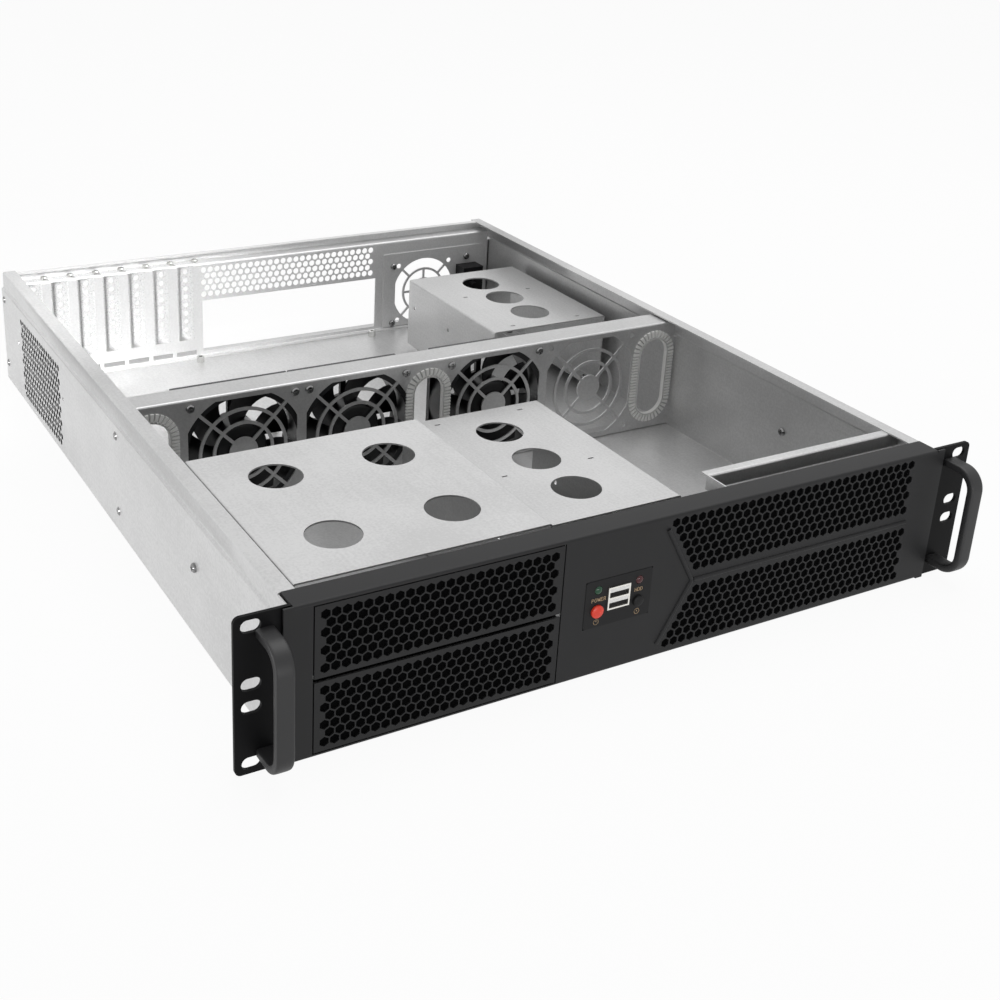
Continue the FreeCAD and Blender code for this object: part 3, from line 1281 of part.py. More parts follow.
# ---------------------------------------------------------------- controls
def make_control_plate():
    """The moulded plate that carries lamps, buttons and sockets, with four posts for the board."""
    plate = box(
        PLATE_CENTRE_X - PLATE_WIDTH / 2,
        PLATE_CENTRE_X + PLATE_WIDTH / 2,
        PLATE_FRONT,
        BEZEL_BACK,
        PLATE_CENTRE_Z - PLATE_HEIGHT / 2,
        PLATE_CENTRE_Z + PLATE_HEIGHT / 2,
    )
    rim = box(
        PLATE_CENTRE_X - PLATE_WIDTH / 2 - PLATE_LAP,
        PLATE_CENTRE_X + PLATE_WIDTH / 2 + PLATE_LAP,
        BEZEL_BACK,
        PLATE_REAR,
        PLATE_CENTRE_Z - PLATE_HEIGHT / 2 - PLATE_LAP,
        PLATE_CENTRE_Z + PLATE_HEIGHT / 2 + PLATE_LAP,
    )
    uprights = [e for e in plate.Edges if abs(e.Vertexes[0].Y - e.Vertexes[-1].Y) > PLATE_CORNER / 2]
    shape = plate.makeFillet(PLATE_CORNER, uprights).fuse(rim)
    for x, z in BOARD_CORNERS:
        shape = shape.fuse(rod(BOARD_POST, V(x, PLATE_REAR - FIT, z), BOARD_FRONT - PLATE_REAR + FIT))
    tools = [
        rod(LED_DIAMETER + 2 * FIT, V(POWER_X, PLATE_FRONT - 1, LED_Z), 5),
        rod(LED_DIAMETER + 2 * FIT, V(RESET_X, PLATE_FRONT - 1, LED_Z), 5),
        rod(POWER_DIAMETER + 2 * BUTTON_FIT, V(POWER_X, PLATE_FRONT - 1, BUTTON_Z), 5),
        rod(RESET_DIAMETER + 2 * BUTTON_FIT, V(RESET_X, PLATE_FRONT - 1, BUTTON_Z), 5),
        box(
            PLATE_CENTRE_X - USB_WIDTH / 2 - FIT,
            PLATE_CENTRE_X + USB_WIDTH / 2 + FIT,
            PLATE_FRONT - 1,
            PLATE_REAR + 1,
            USB_Z - USB_HEIGHT / 2 - FIT,
            USB_Z + USB_HEIGHT / 2 + FIT,
        ),
    ]
    return cut_all(shape.removeSplitter(), tools)


def make_button(x, diameter):
    """A push button: a slightly domed cap, a collar behind the plate and a stem to the switch."""
    front = PLATE_FRONT - BUTTON_PROUD
    cap = rod(diameter, V(x, front, BUTTON_Z), PLATE_REAR - front + FIT)
    cap = cap.makeChamfer(BUTTON_PROUD / 3, [e for e in cap.Edges if is_rim(e, V(x, front, BUTTON_Z))])
    collar = rod(diameter + 2 * BUTTON_COLLAR, V(x, PLATE_REAR, BUTTON_Z), BUTTON_COLLAR)
    stem_end = BOARD_FRONT - SWITCH_HEIGHT - BUTTON_TRAVEL - FIT
    stem = rod(STEM_DIAMETER, V(x, PLATE_REAR, BUTTON_Z), stem_end - PLATE_REAR)
    return cap.fuse([collar, stem]).removeSplitter()


def make_led(x):
    """A round indicator lamp with a domed front and a flange behind the plate."""
    front = PLATE_FRONT - LED_PROUD
    body = rod(LED_DIAMETER, V(x, front, LED_Z), PLATE_REAR - front + LED_LENGTH)
    body = body.makeFillet(LED_PROUD, [e for e in body.Edges if is_rim(e, V(x, front, LED_Z))])
    flange = rod(LED_DIAMETER + 2 * LED_RIM, V(x, PLATE_REAR, LED_Z), LED_RIM)
    leg_start = PLATE_REAR + LED_LENGTH
    legs = []
    for side in (-1, 1):
        legs.append(rod(LED_LEG, V(x + side * LED_LEG_GAP / 2, leg_start, LED_Z), BOARD_FRONT - leg_start))
    return body.fuse([flange] + legs).removeSplitter()


def make_usb():
    """Two stacked sockets: a metal shell with a tongue in each opening."""
    shell = box(
        PLATE_CENTRE_X - USB_WIDTH / 2,
        PLATE_CENTRE_X + USB_WIDTH / 2,
        PLATE_FRONT - USB_SHELL,
        BOARD_FRONT,
        USB_Z - USB_HEIGHT / 2,
        USB_Z + USB_HEIGHT / 2,
    )
    gap = (USB_HEIGHT - 3 * USB_SHELL) / 2
    for i in (0, 1):
        low = USB_Z - USB_HEIGHT / 2 + USB_SHELL + i * (gap + USB_SHELL)
        well = box(
            PLATE_CENTRE_X - USB_WIDTH / 2 + USB_SHELL,
            PLATE_CENTRE_X + USB_WIDTH / 2 - USB_SHELL,
            PLATE_FRONT - USB_SHELL - 1,
            BOARD_FRONT - USB_BACK,
            low,
            low + gap,
        )
        tongue = box(
            PLATE_CENTRE_X - USB_TONGUE / 2,
            PLATE_CENTRE_X + USB_TONGUE / 2,
            PLATE_FRONT,
            BOARD_FRONT - USB_BACK,
            low + gap / 2,
            low + gap / 2 + USB_TONGUE_THICK,
        )
        shell = shell.cut(well).fuse(tongue)
    return shell.removeSplitter()


def make_switch_board():
    """The small board behind the control plate, with one switch behind each button."""
    board = box(
        PLATE_CENTRE_X - PLATE_WIDTH / 2,
        PLATE_CENTRE_X + PLATE_WIDTH / 2,
        BOARD_FRONT,
        BOARD_FRONT + BOARD_THICK,
        PLATE_CENTRE_Z - PLATE_HEIGHT / 2,
        PLATE_CENTRE_Z + PLATE_HEIGHT / 2,
    )
    half = SWITCH_SIDE / 2
    front = BOARD_FRONT - SWITCH_HEIGHT
    for x in (POWER_X, RESET_X):
        board = board.fuse(box(x - half, x + half, front, BOARD_FRONT, BUTTON_Z - half, BUTTON_Z + half))
    return board.removeSplitter()


# ---------------------------------------------------------------- fasteners of the case body
def make_wall_rivets():
    """The rivets through the side walls into the fan wall's and the rear panel's flanges."""
    rivets = [rivet(side * HALF, y, z, V(-side, 0, 0), 2 * SHEET) for side, y, z in SIDE_RIVETS]
    return Part.makeCompound(rivets)


def make_floor_rivets():
    """The rivets through the cages' feet into the floor, their heads on the feet."""
    rivets = [rivet(x, y, FLOOR + SHEET, V(0, 0, -1), 2 * SHEET - FIT) for x, y in FLOOR_RIVETS]
    return Part.makeCompound(rivets)


def make_wall_screws():
    """The pan-head screws through the side walls beside the drive cages."""
    screws = []
    for side, y, z in SIDE_SCREWS:
        face = HALF if side < 0 else -WALL_IN
        screws.append(pan_screw(-face, y, z, V(1, 0, 0), SIDE_SCREW_LENGTH))
    return Part.makeCompound(screws)


os.makedirs("parts", exist_ok=True)
save("chassis_tray", make_tray())
save("rear_panel", make_rear_panel())
for number, slot_x in enumerate(SLOT_X, 1):
    save("slot_cover_%d" % number, make_slot_cover(slot_x))
save("slot_cover_screws", make_cover_screws())
save("psu_plate", make_psu_plate())
save("psu_plate_screws", make_psu_plate_screws())
save("mains_inlet", make_inlet())
save("mains_inlet_screws", make_inlet_screws())
save("fan_wall", make_fan_wall())
for hole_name, hole_x, hole_width in CABLE_HOLES:
    save("cable_edging_" + hole_name, make_edging(hole_x, hole_width))
for number, fan_x in enumerate(FAN_X[:FANS], 1):
    save("fan_frame_%d" % number, make_fan_frame(fan_x))
    save("fan_rotor_%d" % number, make_rotor(fan_x))
save("fan_screws", make_fan_screws())
save("wide_drive_cage", make_bay_cage())
save("hard_disk_cage", make_disk_cage())
save("psu_cage", make_psu_cage())
save("psu_cage_posts", make_posts(PSU_POSTS, PSU_CAGE_LIFT))
save("psu_cage_screws", make_psu_cage_screws())
save("board_standoffs", make_posts(BOARD_POSTS, STANDOFF_HEIGHT))
save("front_panel", make_front_panel())
for level, low, high in (
    ("upper", (BEZEL_HEIGHT + COVER_SEAM) / 2, BEZEL_HEIGHT - BAY_RAIL - COVER_GAP),
    ("lower", BAY_RAIL + COVER_GAP, (BEZEL_HEIGHT - COVER_SEAM) / 2),
):
    save("bay_cover_" + level, make_bay_cover(low, high))
    save("dust_filter_" + level, make_cover_filter(low, high))
save("dust_filter_right", make_mesh_filter())
for side_name, side_sign in (("left", -1), ("right", 1)):
    save("ear_" + side_name, make_ear(side_sign))
    save("handle_" + side_name, make_handle(side_sign))
save("handle_screws", make_handle_screws())
save("front_bracket", make_bracket())
save("control_plate", make_control_plate())
save("power_button", make_button(POWER_X, POWER_DIAMETER))
save("reset_button", make_button(RESET_X, RESET_DIAMETER))
save("power_led", make_led(POWER_X))
save("disk_led", make_led(RESET_X))
save("usb_ports", make_usb())
save("switch_board", make_switch_board())
save("wall_rivets", make_wall_rivets())
save("floor_rivets", make_floor_rivets())
save("wall_screws", make_wall_screws())
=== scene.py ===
"""Looks of an empty 2U rackmount server case: its pierced sheets, edging, handles, finishes and light.

Lengths named in millimetres are turned to metres by MM. X runs right, Y back from the front, Z up.
"""
import json
import math

import bmesh
import bpy
import numpy as np
from mathutils import Matrix, Vector
from mathutils.geometry import delaunay_2d_cdt


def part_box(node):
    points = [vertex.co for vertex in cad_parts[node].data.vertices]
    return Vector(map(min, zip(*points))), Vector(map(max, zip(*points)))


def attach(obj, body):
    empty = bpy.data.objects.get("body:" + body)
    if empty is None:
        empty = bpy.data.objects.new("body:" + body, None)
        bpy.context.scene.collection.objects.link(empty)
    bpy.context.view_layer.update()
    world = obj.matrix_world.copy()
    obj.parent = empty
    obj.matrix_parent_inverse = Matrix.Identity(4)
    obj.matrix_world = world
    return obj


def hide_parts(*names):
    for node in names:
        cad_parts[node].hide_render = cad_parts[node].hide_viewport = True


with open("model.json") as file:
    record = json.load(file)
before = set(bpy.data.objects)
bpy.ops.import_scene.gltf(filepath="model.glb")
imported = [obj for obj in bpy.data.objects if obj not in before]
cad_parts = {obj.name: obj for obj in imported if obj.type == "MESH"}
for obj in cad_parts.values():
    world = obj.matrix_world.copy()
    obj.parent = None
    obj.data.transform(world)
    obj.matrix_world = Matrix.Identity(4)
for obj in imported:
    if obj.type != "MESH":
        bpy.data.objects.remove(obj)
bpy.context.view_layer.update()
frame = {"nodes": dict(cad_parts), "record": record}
MM = 0.001

# ---------------------------------------------------------------- sizes of the case
TRAY_LOW, TRAY_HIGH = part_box("chassis_tray")
_, PANEL_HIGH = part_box("front_panel")
_, REAR_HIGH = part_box("rear_panel")
EAR_LOW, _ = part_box("ear_right")
SHEET = 1.0 * MM
FIT = 0.1 * MM
INNER_BEND = 0.5 * MM
HALF = TRAY_HIGH.x
WALL_IN = HALF - SHEET
JOGGLE = 1.5 * MM
JOGGLE_Z = 75.0 * MM
RAIL_WIDTH = 9.5 * MM
RAIL_IN = HALF - JOGGLE - RAIL_WIDTH
STRIP_IN = WALL_IN - JOGGLE
CASE_TOP = TRAY_HIGH.z
REAR_RECESS = 16.0 * MM
REAR_IN = TRAY_HIGH.y - REAR_RECESS
FRONT_NOTCH = 11.9 * MM
BODY_FRONT = TRAY_LOW.y + FRONT_NOTCH


# ---------------------------------------------------------------- meshes
def mesh_object(name, points, faces, sharp_degrees=30.0):
    """A mesh object at the origin; corners sharper than the given angle stay hard."""
    mesh = bpy.data.meshes.new(name)
    corners = np.asarray(points, float).reshape(-1, 3).tolist()
    mesh.from_pydata(corners, [], [list(map(int, face)) for face in faces])
    shape = bmesh.new()
    shape.from_mesh(mesh)
    bmesh.ops.remove_doubles(shape, verts=shape.verts, dist=1e-7)
    bmesh.ops.recalc_face_normals(shape, faces=shape.faces)
    shape.to_mesh(mesh)
    shape.free()
    mesh.polygons.foreach_set("use_smooth", np.ones(len(mesh.polygons), bool))
    mesh.set_sharp_from_angle(angle=math.radians(sharp_degrees))
    made = bpy.data.objects.new(name, mesh)
    bpy.context.scene.collection.objects.link(made)
    return made


def join(name, parts):
    """One set of points and faces from several, each a pair of a point array and a face list."""
    points, faces, count = [], [], 0
    for part_points, part_faces in parts:
        part_points = np.asarray(part_points, float).reshape(-1, 3)
        points.append(part_points)
        faces += [[corner + count for corner in face] for face in part_faces]
        count += len(part_points)
    return mesh_object(name, np.concatenate(points), faces)


AXIS_ORDER = {"x": (2, 0, 1), "y": (0, 2, 1), "z": (0, 1, 2)}


def at_level(outline, level, across):
    """Flat pairs set at one level of an axis, as points in the order x, y, z."""
    return np.column_stack([outline, np.full(len(outline), level)])[:, AXIS_ORDER[across]]


def tube_faces(rings, count):
    """Faces of a tube: squares from each ring of points to the next, and a cap at each end."""
    rows = np.arange(rings - 1)[:, None] * count
    here = np.arange(count)[None, :]
    after = (here + 1) % count
    quads = np.stack([rows + here, rows + after, rows + count + after, rows + count + here], axis=-1)
    caps = [list(range(count)), list(range((rings - 1) * count, rings * count))]
    return quads.reshape(-1, 4).tolist() + caps


def rounded_path(corners, radius, steps=6):
    """Points along a polyline whose inner corners are arcs of one radius, and the left normal at each.

    An arc starts and ends radius times the tangent of half the turn away from its corner.
    """
    corners = np.asarray(corners, float)
    points, normals = [corners[0]], []
    legs = np.diff(corners, axis=0)
    ways = legs / np.linalg.norm(legs, axis=1)[:, None]
    lefts = np.stack([-ways[:, 1], ways[:, 0]], axis=1)
    normals.append(lefts[0])
    for i in range(1, len(corners) - 1):
        turn = math.atan2(
            ways[i - 1][0] * ways[i][1] - ways[i - 1][1] * ways[i][0],
            float(ways[i - 1] @ ways[i]),
        )
        reach = radius * abs(math.tan(turn / 2))
        centre = corners[i] - ways[i - 1] * reach + math.copysign(radius, turn) * lefts[i - 1]
        for share in np.linspace(0, 1, steps + 1):
            angle = turn * share
            way = np.array([math.cos(angle), math.sin(angle)])
            spun = np.array(
                [
                    lefts[i - 1][0] * way[0] - lefts[i - 1][1] * way[1],
                    lefts[i - 1][0] * way[1] + lefts[i - 1][1] * way[0],
                ]
            )
            points.append(centre - math.copysign(radius, turn) * spun)
            normals.append(spun)
    points.append(corners[-1])
    normals.append(lefts[-1])
    return np.array(points), np.array(normals)


def folded(path, start, end, across, thick=SHEET):
    """A folded sheet: the middle line of its section, moved half a thickness to each side, pushed straight.

    The path's pairs are (y, z) when pushed along x, (x, z) along y and (x, y) along z.
    """
    middle, normals = rounded_path(path, INNER_BEND + thick / 2)
    outline = np.concatenate([middle + normals * thick / 2, (middle - normals * thick / 2)[::-1]])
    count = len(middle)
    ends = [at_level(outline, level, across) for level in (start, end)]
    ring = np.arange(2 * count)
    after = np.roll(ring, -1)
    faces = np.column_stack([ring, after, after + 2 * count, ring + 2 * count]).tolist()
    left = np.arange(count - 1)
    cap = np.column_stack([left, left + 1, 2 * count - 2 - left, 2 * count - 1 - left])
    faces += cap.tolist() + (cap + 2 * count).tolist()
    return np.concatenate(ends), faces


def pierced(outline, holes, low, high, across):
    """A flat sheet with holes: triangles between its outline and the holes, on two faces, and all rims.

    The outline's and the holes' pairs are (x, z) for a sheet across y and (y, z) for one across x.
    """
    loops = [np.asarray(outline, float)] + [np.asarray(hole, float) for hole in holes]
    starts = np.cumsum([0] + [len(loop) for loop in loops])
    flat = np.concatenate(loops)
    loop_faces = [list(range(a, b)) for a, b in zip(starts[:-1], starts[1:])]
    found = delaunay_2d_cdt([Vector(p) for p in flat], [], loop_faces, 1, 1e-9, True)
    corners = np.array([tuple(p) for p in found[0]])
    triangles = np.array([face for face, source in zip(found[2], found[5]) if list(source) == [0]])
    sides = np.concatenate([triangles[:, [0, 1]], triangles[:, [1, 2]], triangles[:, [2, 0]]])
    keys = np.sort(sides, axis=1)
    _, first, counts = np.unique(keys, axis=0, return_index=True, return_counts=True)
    rims = sides[first[counts == 1]]
    points = [at_level(corners, level, across) for level in (low, high)]
    count = len(corners)
    faces = triangles.tolist() + (triangles[:, ::-1] + count).tolist()
    faces += np.column_stack([rims[:, 0], rims[:, 0] + count, rims[:, 1] + count, rims[:, 1]]).tolist()
    return np.concatenate(points), faces


def extruded(outline, start, end, across):
    """A straight bar: a convex closed outline, with its points in turn, pushed along an axis."""
    outline = np.asarray(outline, float)
    count = len(outline)
    ends = [at_level(outline, level, across) for level in (start, end)]
    here = np.arange(count)
    after = np.roll(here, -1)
    faces = np.column_stack([here, after, after + count, here + count]).tolist()
    faces += [here.tolist(), (here + count).tolist()]
    return np.concatenate(ends), faces


BLOCK_FACES = [[0, 1, 3, 2], [4, 6, 7, 5], [0, 4, 5, 1], [2, 3, 7, 6], [0, 2, 6, 4], [1, 5, 7, 3]]


def block(low, high):
    """The eight corners and six faces of a box between two corners."""
    grid = np.array(np.meshgrid([0, 1], [0, 1], [0, 1], indexing="ij")).reshape(3, -1).T
    return np.asarray(low) + grid * (np.asarray(high) - np.asarray(low)), BLOCK_FACES


def rectangle(left, right, bottom, top):
    """The four corners of a rectangle."""
    return np.array([[left, bottom], [right, bottom], [right, top], [left, top]])


def round_shape(centre, diameter, sides, turn=0.0):
    """A regular outline of some sides about a centre, as wide as the diameter across its corners."""
    angles = np.arange(sides) / sides * 2 * math.pi + turn
    return np.asarray(centre) + diameter / 2 * np.column_stack([np.cos(angles), np.sin(angles)])


def hexagon(centre, across):
    """A six-sided outline with a corner at the top, of a given width across its flats."""
    return round_shape(centre, across * 2 / math.sqrt(3), 6, math.pi / 6)


def staggered(starts, ends, top, pitch, row_pitch):
    """Centres of rows of holes from the top down; each row has its own first and last place."""
    rows = []
    for row, (start, end) in enumerate(zip(starts, ends)):
        count = int((end - start) / pitch + 1e-6) + 1
        across = start + np.arange(count) * pitch
        rows.append(np.column_stack([across, np.full(count, top - row * row_pitch)]))
    return np.concatenate(rows)


def lathe(profile, centre, steps=40):
    """A round piece about the Y axis: pairs of (radius, y) turned full circle, capped at both ends."""
    profile = np.asarray(profile, float)
    angles = np.arange(steps) / steps * 2 * math.pi
    ring = np.stack(
        [
            profile[:, 0, None] * np.cos(angles),
            np.repeat(profile[:, 1, None], steps, axis=1),
            profile[:, 0, None] * np.sin(angles),
        ],
        axis=-1,
    )
    points = ring.reshape(-1, 3) + np.array([centre[0], 0.0, centre[1]])
    return points, tube_faces(len(profile), steps)


# ---------------------------------------------------------------- finishes
def colour(code):
    """A colour written as sRGB hex, turned to the linear values that shaders take."""
    parts = np.array([int(code[i : i + 2], 16) / 255 for i in (1, 3, 5)])
    linear = np.where(parts <= 0.04045, parts / 12.92, ((parts + 0.055) / 1.055) ** 2.4)
    return (*linear.tolist(), 1.0)


def add(tree, kind, inputs=(), **settings):
    """A node with its settings, its inputs set to values or linked to other nodes' outputs."""
    made = tree.nodes.new(kind)
    for key, value in settings.items():
        setattr(made, key, value)
    for socket, value in dict(inputs).items():
        if isinstance(value, bpy.types.NodeSocket):
            tree.links.new(value, made.inputs[socket])
        else:
            made.inputs[socket].default_value = value
    return made


def new_material(name):
    """An empty node material with its output, and the object's own coordinates in metres."""
    made = bpy.data.materials.new(name)
    made.use_nodes = True
    tree = made.node_tree
    tree.nodes.clear()
    place = add(tree, "ShaderNodeTexCoord").outputs["Object"]
    return made, tree, place


def close_material(tree, shader):
    """Links a shader to the material's output."""
    add(tree, "ShaderNodeOutputMaterial", {"Surface": shader.outputs[0]})


def per_metre(size_mm):
    """The texture scale at which one cell is about as wide as a size in millimetres."""
    return 1.0 / (size_mm * MM)


def plated_sheet(name, dark, light, roughness=0.34, metallic=0.55):
    """Cold-rolled steel sheet, electro-galvanised: pale and satin, with a fine even speckle.

    Clouds some 60 mm wide and a speckle of 1.6 mm shift the grey a little, faint lines 1.5 mm apart run
    the way the sheet was rolled, and a grain of 0.5 mm breaks the shine. The real speckle and lines are
    finer than a millimetre and are drawn as coarse as they need to show.
    """
    made, tree, place = new_material(name)
    clouds = add(tree, "ShaderNodeTexNoise", {"Vector": place, "Scale": per_metre(60), "Detail": 3.0})
    spangle = add(tree, "ShaderNodeTexNoise", {"Vector": place, "Scale": per_metre(1.6), "Detail": 2.0})
    rolled = add(tree, "ShaderNodeMapping", {"Vector": place, "Scale": (1, 0.04, 1)})
    along = rolled.outputs[0]
    lines = add(tree, "ShaderNodeTexNoise", {"Vector": along, "Scale": per_metre(1.5), "Detail": 2.0})
    grain = add(tree, "ShaderNodeTexNoise", {"Vector": place, "Scale": per_metre(0.5), "Detail": 2.0})
    both = {0: clouds.outputs["Fac"], 1: spangle.outputs["Fac"]}
    speckle = add(tree, "ShaderNodeMath", both, operation="ADD")
    faint = add(tree, "ShaderNodeMath", {0: lines.outputs["Fac"], 1: 0.35}, operation="MULTIPLY")
    blend = add(tree, "ShaderNodeMath", {0: speckle.outputs[0], 1: faint.outputs[0]}, operation="ADD")
    tone = add(tree, "ShaderNodeMapRange", {"Value": blend.outputs[0], "From Min": 0.95, "From Max": 1.4})
    tint = mix_colour(tree, tone.outputs[0], dark, light)
    shine = {"From Min": 0.3, "From Max": 0.7, "To Min": roughness - 0.05, "To Max": roughness + 0.06}
    rough = add(tree, "ShaderNodeMapRange", {"Value": grain.outputs["Fac"], **shine})
    relief = {"Height": grain.outputs["Fac"], "Strength": 0.1, "Distance": 0.02 * MM}
    bump = add(tree, "ShaderNodeBump", relief)
    shader = add(
        tree,
        "ShaderNodeBsdfPrincipled",
        {"Base Color": tint, "Metallic": metallic, "Roughness": rough.outputs[0], "Normal": bump.outputs[0]},
    )
    close_material(tree, shader)
    return made


def mix_colour(tree, factor, dark, light):
    """A colour between two hex colours by a factor."""
    ramp = add(tree, "ShaderNodeValToRGB", {"Fac": factor})
    ramp.color_ramp.elements[0].color = colour(dark)
    ramp.color_ramp.elements[1].color = colour(light)
    return ramp.outputs["Color"]


def powder_coat(name, dark, light, shine):
    """Fine-texture powder coat on steel: matt near-black with an orange-peel grain about 0.5 mm wide."""
    made, tree, place = new_material(name)
    peel = add(tree, "ShaderNodeTexNoise", {"Vector": place, "Scale": per_metre(0.5), "Detail": 3.0})
    clouds = add(tree, "ShaderNodeTexNoise", {"Vector": place, "Scale": per_metre(25), "Detail": 2.0})
    tint = mix_colour(tree, clouds.outputs["Fac"], dark, light)
    relief = {"Height": peel.outputs["Fac"], "Strength": 0.6, "Distance": 0.05 * MM}
    bump = add(tree, "ShaderNodeBump", relief)
    shader = add(
        tree,
        "ShaderNodeBsdfPrincipled",
        {"Base Color": tint, "Roughness": 0.5, "Specular IOR Level": shine, "Normal": bump.outputs[0]},
    )
    close_material(tree, shader)
    return made


def moulded_plastic(name, dark, light, roughness, grain_mm=0.4, strength=0.15, shine=0.5):
    """Injection-moulded plastic: an even colour with a slight change of tone and a spark-eroded grain."""
    made, tree, place = new_material(name)
    clouds = add(tree, "ShaderNodeTexNoise", {"Vector": place, "Scale": per_metre(8), "Detail": 2.0})
    grain = add(tree, "ShaderNodeTexNoise", {"Vector": place, "Scale": per_metre(grain_mm), "Detail": 2.0})
    tint = mix_colour(tree, clouds.outputs["Fac"], dark, light)
    relief = {"Height": grain.outputs["Fac"], "Strength": strength, "Distance": 0.03 * MM}
    bump = add(tree, "ShaderNodeBump", relief)
    shader = add(
        tree,
        "ShaderNodeBsdfPrincipled",
        {"Base Color": tint, "Roughness": roughness, "Specular IOR Level": shine, "Normal": bump.outputs[0]},
    )
    close_material(tree, shader)
    return made


def filter_foam(name):
    """Open-cell polyurethane filter foam: black, with pores 0.8 mm wide that swallow the light."""
    made, tree, place = new_material(name)
    pores = add(tree, "ShaderNodeTexVoronoi", {"Vector": place, "Scale": per_metre(0.8)})
    tint = mix_colour(tree, pores.outputs["Distance"], "#020202", "#0e0e0f")
    relief = {"Height": pores.outputs["Distance"], "Strength": 0.8, "Distance": 0.4 * MM}
    bump = add(tree, "ShaderNodeBump", relief)
    shader = add(
        tree,
        "ShaderNodeBsdfPrincipled",
        {"Base Color": tint, "Roughness": 0.95, "Specular IOR Level": 0.03, "Normal": bump.outputs[0]},
    )
    close_material(tree, shader)
    return made


def lamp_lens(name, dark, light):
    """Cast epoxy lamp lens, tinted and glossy, unlit."""
    made, tree, place = new_material(name)
    clouds = add(tree, "ShaderNodeTexNoise", {"Vector": place, "Scale": per_metre(3), "Detail": 2.0})
    tint = mix_colour(tree, clouds.outputs["Fac"], dark, light)
    look = {"Base Color": tint, "Roughness": 0.1, "Specular IOR Level": 0.4}
    shader = add(tree, "ShaderNodeBsdfPrincipled", look)
    close_material(tree, shader)
    return made


def turned_metal(name, dark, light, roughness):
    """Plated metal, turned or drawn: bright, with tool marks 0.4 mm wide, coarser than real so they show."""
    made, tree, place = new_material(name)
    marks = add(tree, "ShaderNodeTexNoise", {"Vector": place, "Scale": per_metre(0.4), "Detail": 2.0})
    tint = mix_colour(tree, marks.outputs["Fac"], dark, light)
    relief = {"Height": marks.outputs["Fac"], "Strength": 0.1, "Distance": 0.02 * MM}
    bump = add(tree, "ShaderNodeBump", relief)
    shader = add(
        tree,
        "ShaderNodeBsdfPrincipled",
        {"Base Color": tint, "Metallic": 0.95, "Roughness": roughness, "Normal": bump.outputs[0]},
    )
    close_material(tree, shader)
    return made


def circuit_laminate(name):
    """Glass-fibre laminate under green lacquer; the paler bands are the copper tracks showing through."""
    made, tree, place = new_material(name)
    tracks = add(tree, "ShaderNodeTexWave", {"Vector": place, "Scale": per_metre(4), "Distortion": 3.0})
    tint = mix_colour(tree, tracks.outputs["Fac"], "#0f3a20", "#1b5a30")
    shader = add(tree, "ShaderNodeBsdfPrincipled", {"Base Color": tint, "Roughness": 0.35})
    close_material(tree, shader)
    return made


FINISHES = {
    "zinc_sheet": plated_sheet("galvanised_sheet_body", "#c3c3c3", "#d1d1d1"),
    # The same galvanised sheet, lighter and less metallic than the body's: painted light on the parts at the
    # rear.
    "rear_sheet": plated_sheet("galvanised_sheet_rear_painted_light", "#dadada", "#e4e4e4", metallic=0.35),
    # The same galvanised sheet, darker than the body's: painted shade on the fan wall.
    "partition_sheet": plated_sheet("galvanised_sheet_partition_painted_shade", "#bcbcbc", "#c8c8c8", metallic=0.6),
    "cage_sheet": plated_sheet("galvanised_sheet_cages", "#c6c6c6", "#d4d4d4"),
    "bright_steel": plated_sheet("nickel_plated_spring_steel", "#e2e2e2", "#eeeeee", 0.3, 0.4),
    "black_powder_coat": powder_coat("black_powder_coated_steel", "#19191a", "#202021", 0.25),
    "white_nylon": moulded_plastic("white_nylon_extrusion", "#ecece9", "#f6f6f4", 0.45),
    "black_fan_plastic": moulded_plastic("black_glass_filled_pbt", "#08080a", "#0e0e10", 0.36),
    "black_moulding": moulded_plastic("black_abs_moulding", "#111112", "#171718", 0.5, shine=0.2),
    "black_foam": filter_foam("black_filter_foam"),
    "red_button": moulded_plastic("red_abs_moulding", "#e2361f", "#ee4128", 0.3, strength=0.05),
    "green_lens": lamp_lens("green_epoxy_lens", "#083a22", "#0c4c2e"),
    "red_lens": lamp_lens("red_epoxy_lens", "#3c0a10", "#521018"),
    "socket_metal": turned_metal("nickel_plated_socket_shell", "#e2e0da", "#f0eee8", 0.28),
    "circuit_board": circuit_laminate("green_circuit_laminate"),
    "steel_post": turned_metal("nickel_plated_posts", "#d2d2d0", "#e4e4e2", 0.22),
    "screw_steel": turned_metal("zinc_plated_screws", "#7c7c7c", "#969696", 0.16),
}
SLOT_OF = {part["node"]: part["material_slot"] for part in frame["record"]["subparts"]}
INK = moulded_plastic("pad_printed_ink", "#b79c7c", "#c9b090", 0.6, shine=0.1)
HANDLE_COAT = powder_coat("black_powder_coated_handles", "#1c1c1d", "#232324", 0.45)
EAR_COAT = powder_coat("black_powder_coated_ears", "#0e0e0f", "#131314", 0.08)
OWN_FINISH = {
    "ear_left": EAR_COAT,
    "ear_right": EAR_COAT,
    "board_standoffs": FINISHES["steel_post"],
    "slot_cover_screws": FINISHES["steel_post"],
}
for node_name, node_object in frame["nodes"].items():
    node_object.data.materials.clear()
    node_object.data.materials.append(OWN_FINISH.get(node_name, FINISHES[SLOT_OF[node_name]]))


def dress(made, node, body="case"):
    """Lets a new piece stand for a node of the frame, in that node's finish and on its body."""
    made.data.materials.append(FINISHES[SLOT_OF[node]])
    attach(made, body)
    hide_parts(node)
    return made


# ---------------------------------------------------------------- case body
VENT_PITCH = 5.85 * MM
VENT_ROW = 5.15 * MM
VENT_HOLE = 5.0 * MM
VENT_ROWS = 12
VENT_FRONT = TRAY_HIGH.y - 157.5 * MM
VENT_REAR = TRAY_HIGH.y - 50.5 * MM
VENT_TOP = 67.5 * MM
VENT_BORDER = 9.0 * MM
BESIDE_VENT = 6.1 * MM
BESIDE_VENT_Z = 45.2 * MM
BESIDE_VENT_HOLE = 3.0 * MM
NOTCH_BELOW_PANEL = 1.4 * MM


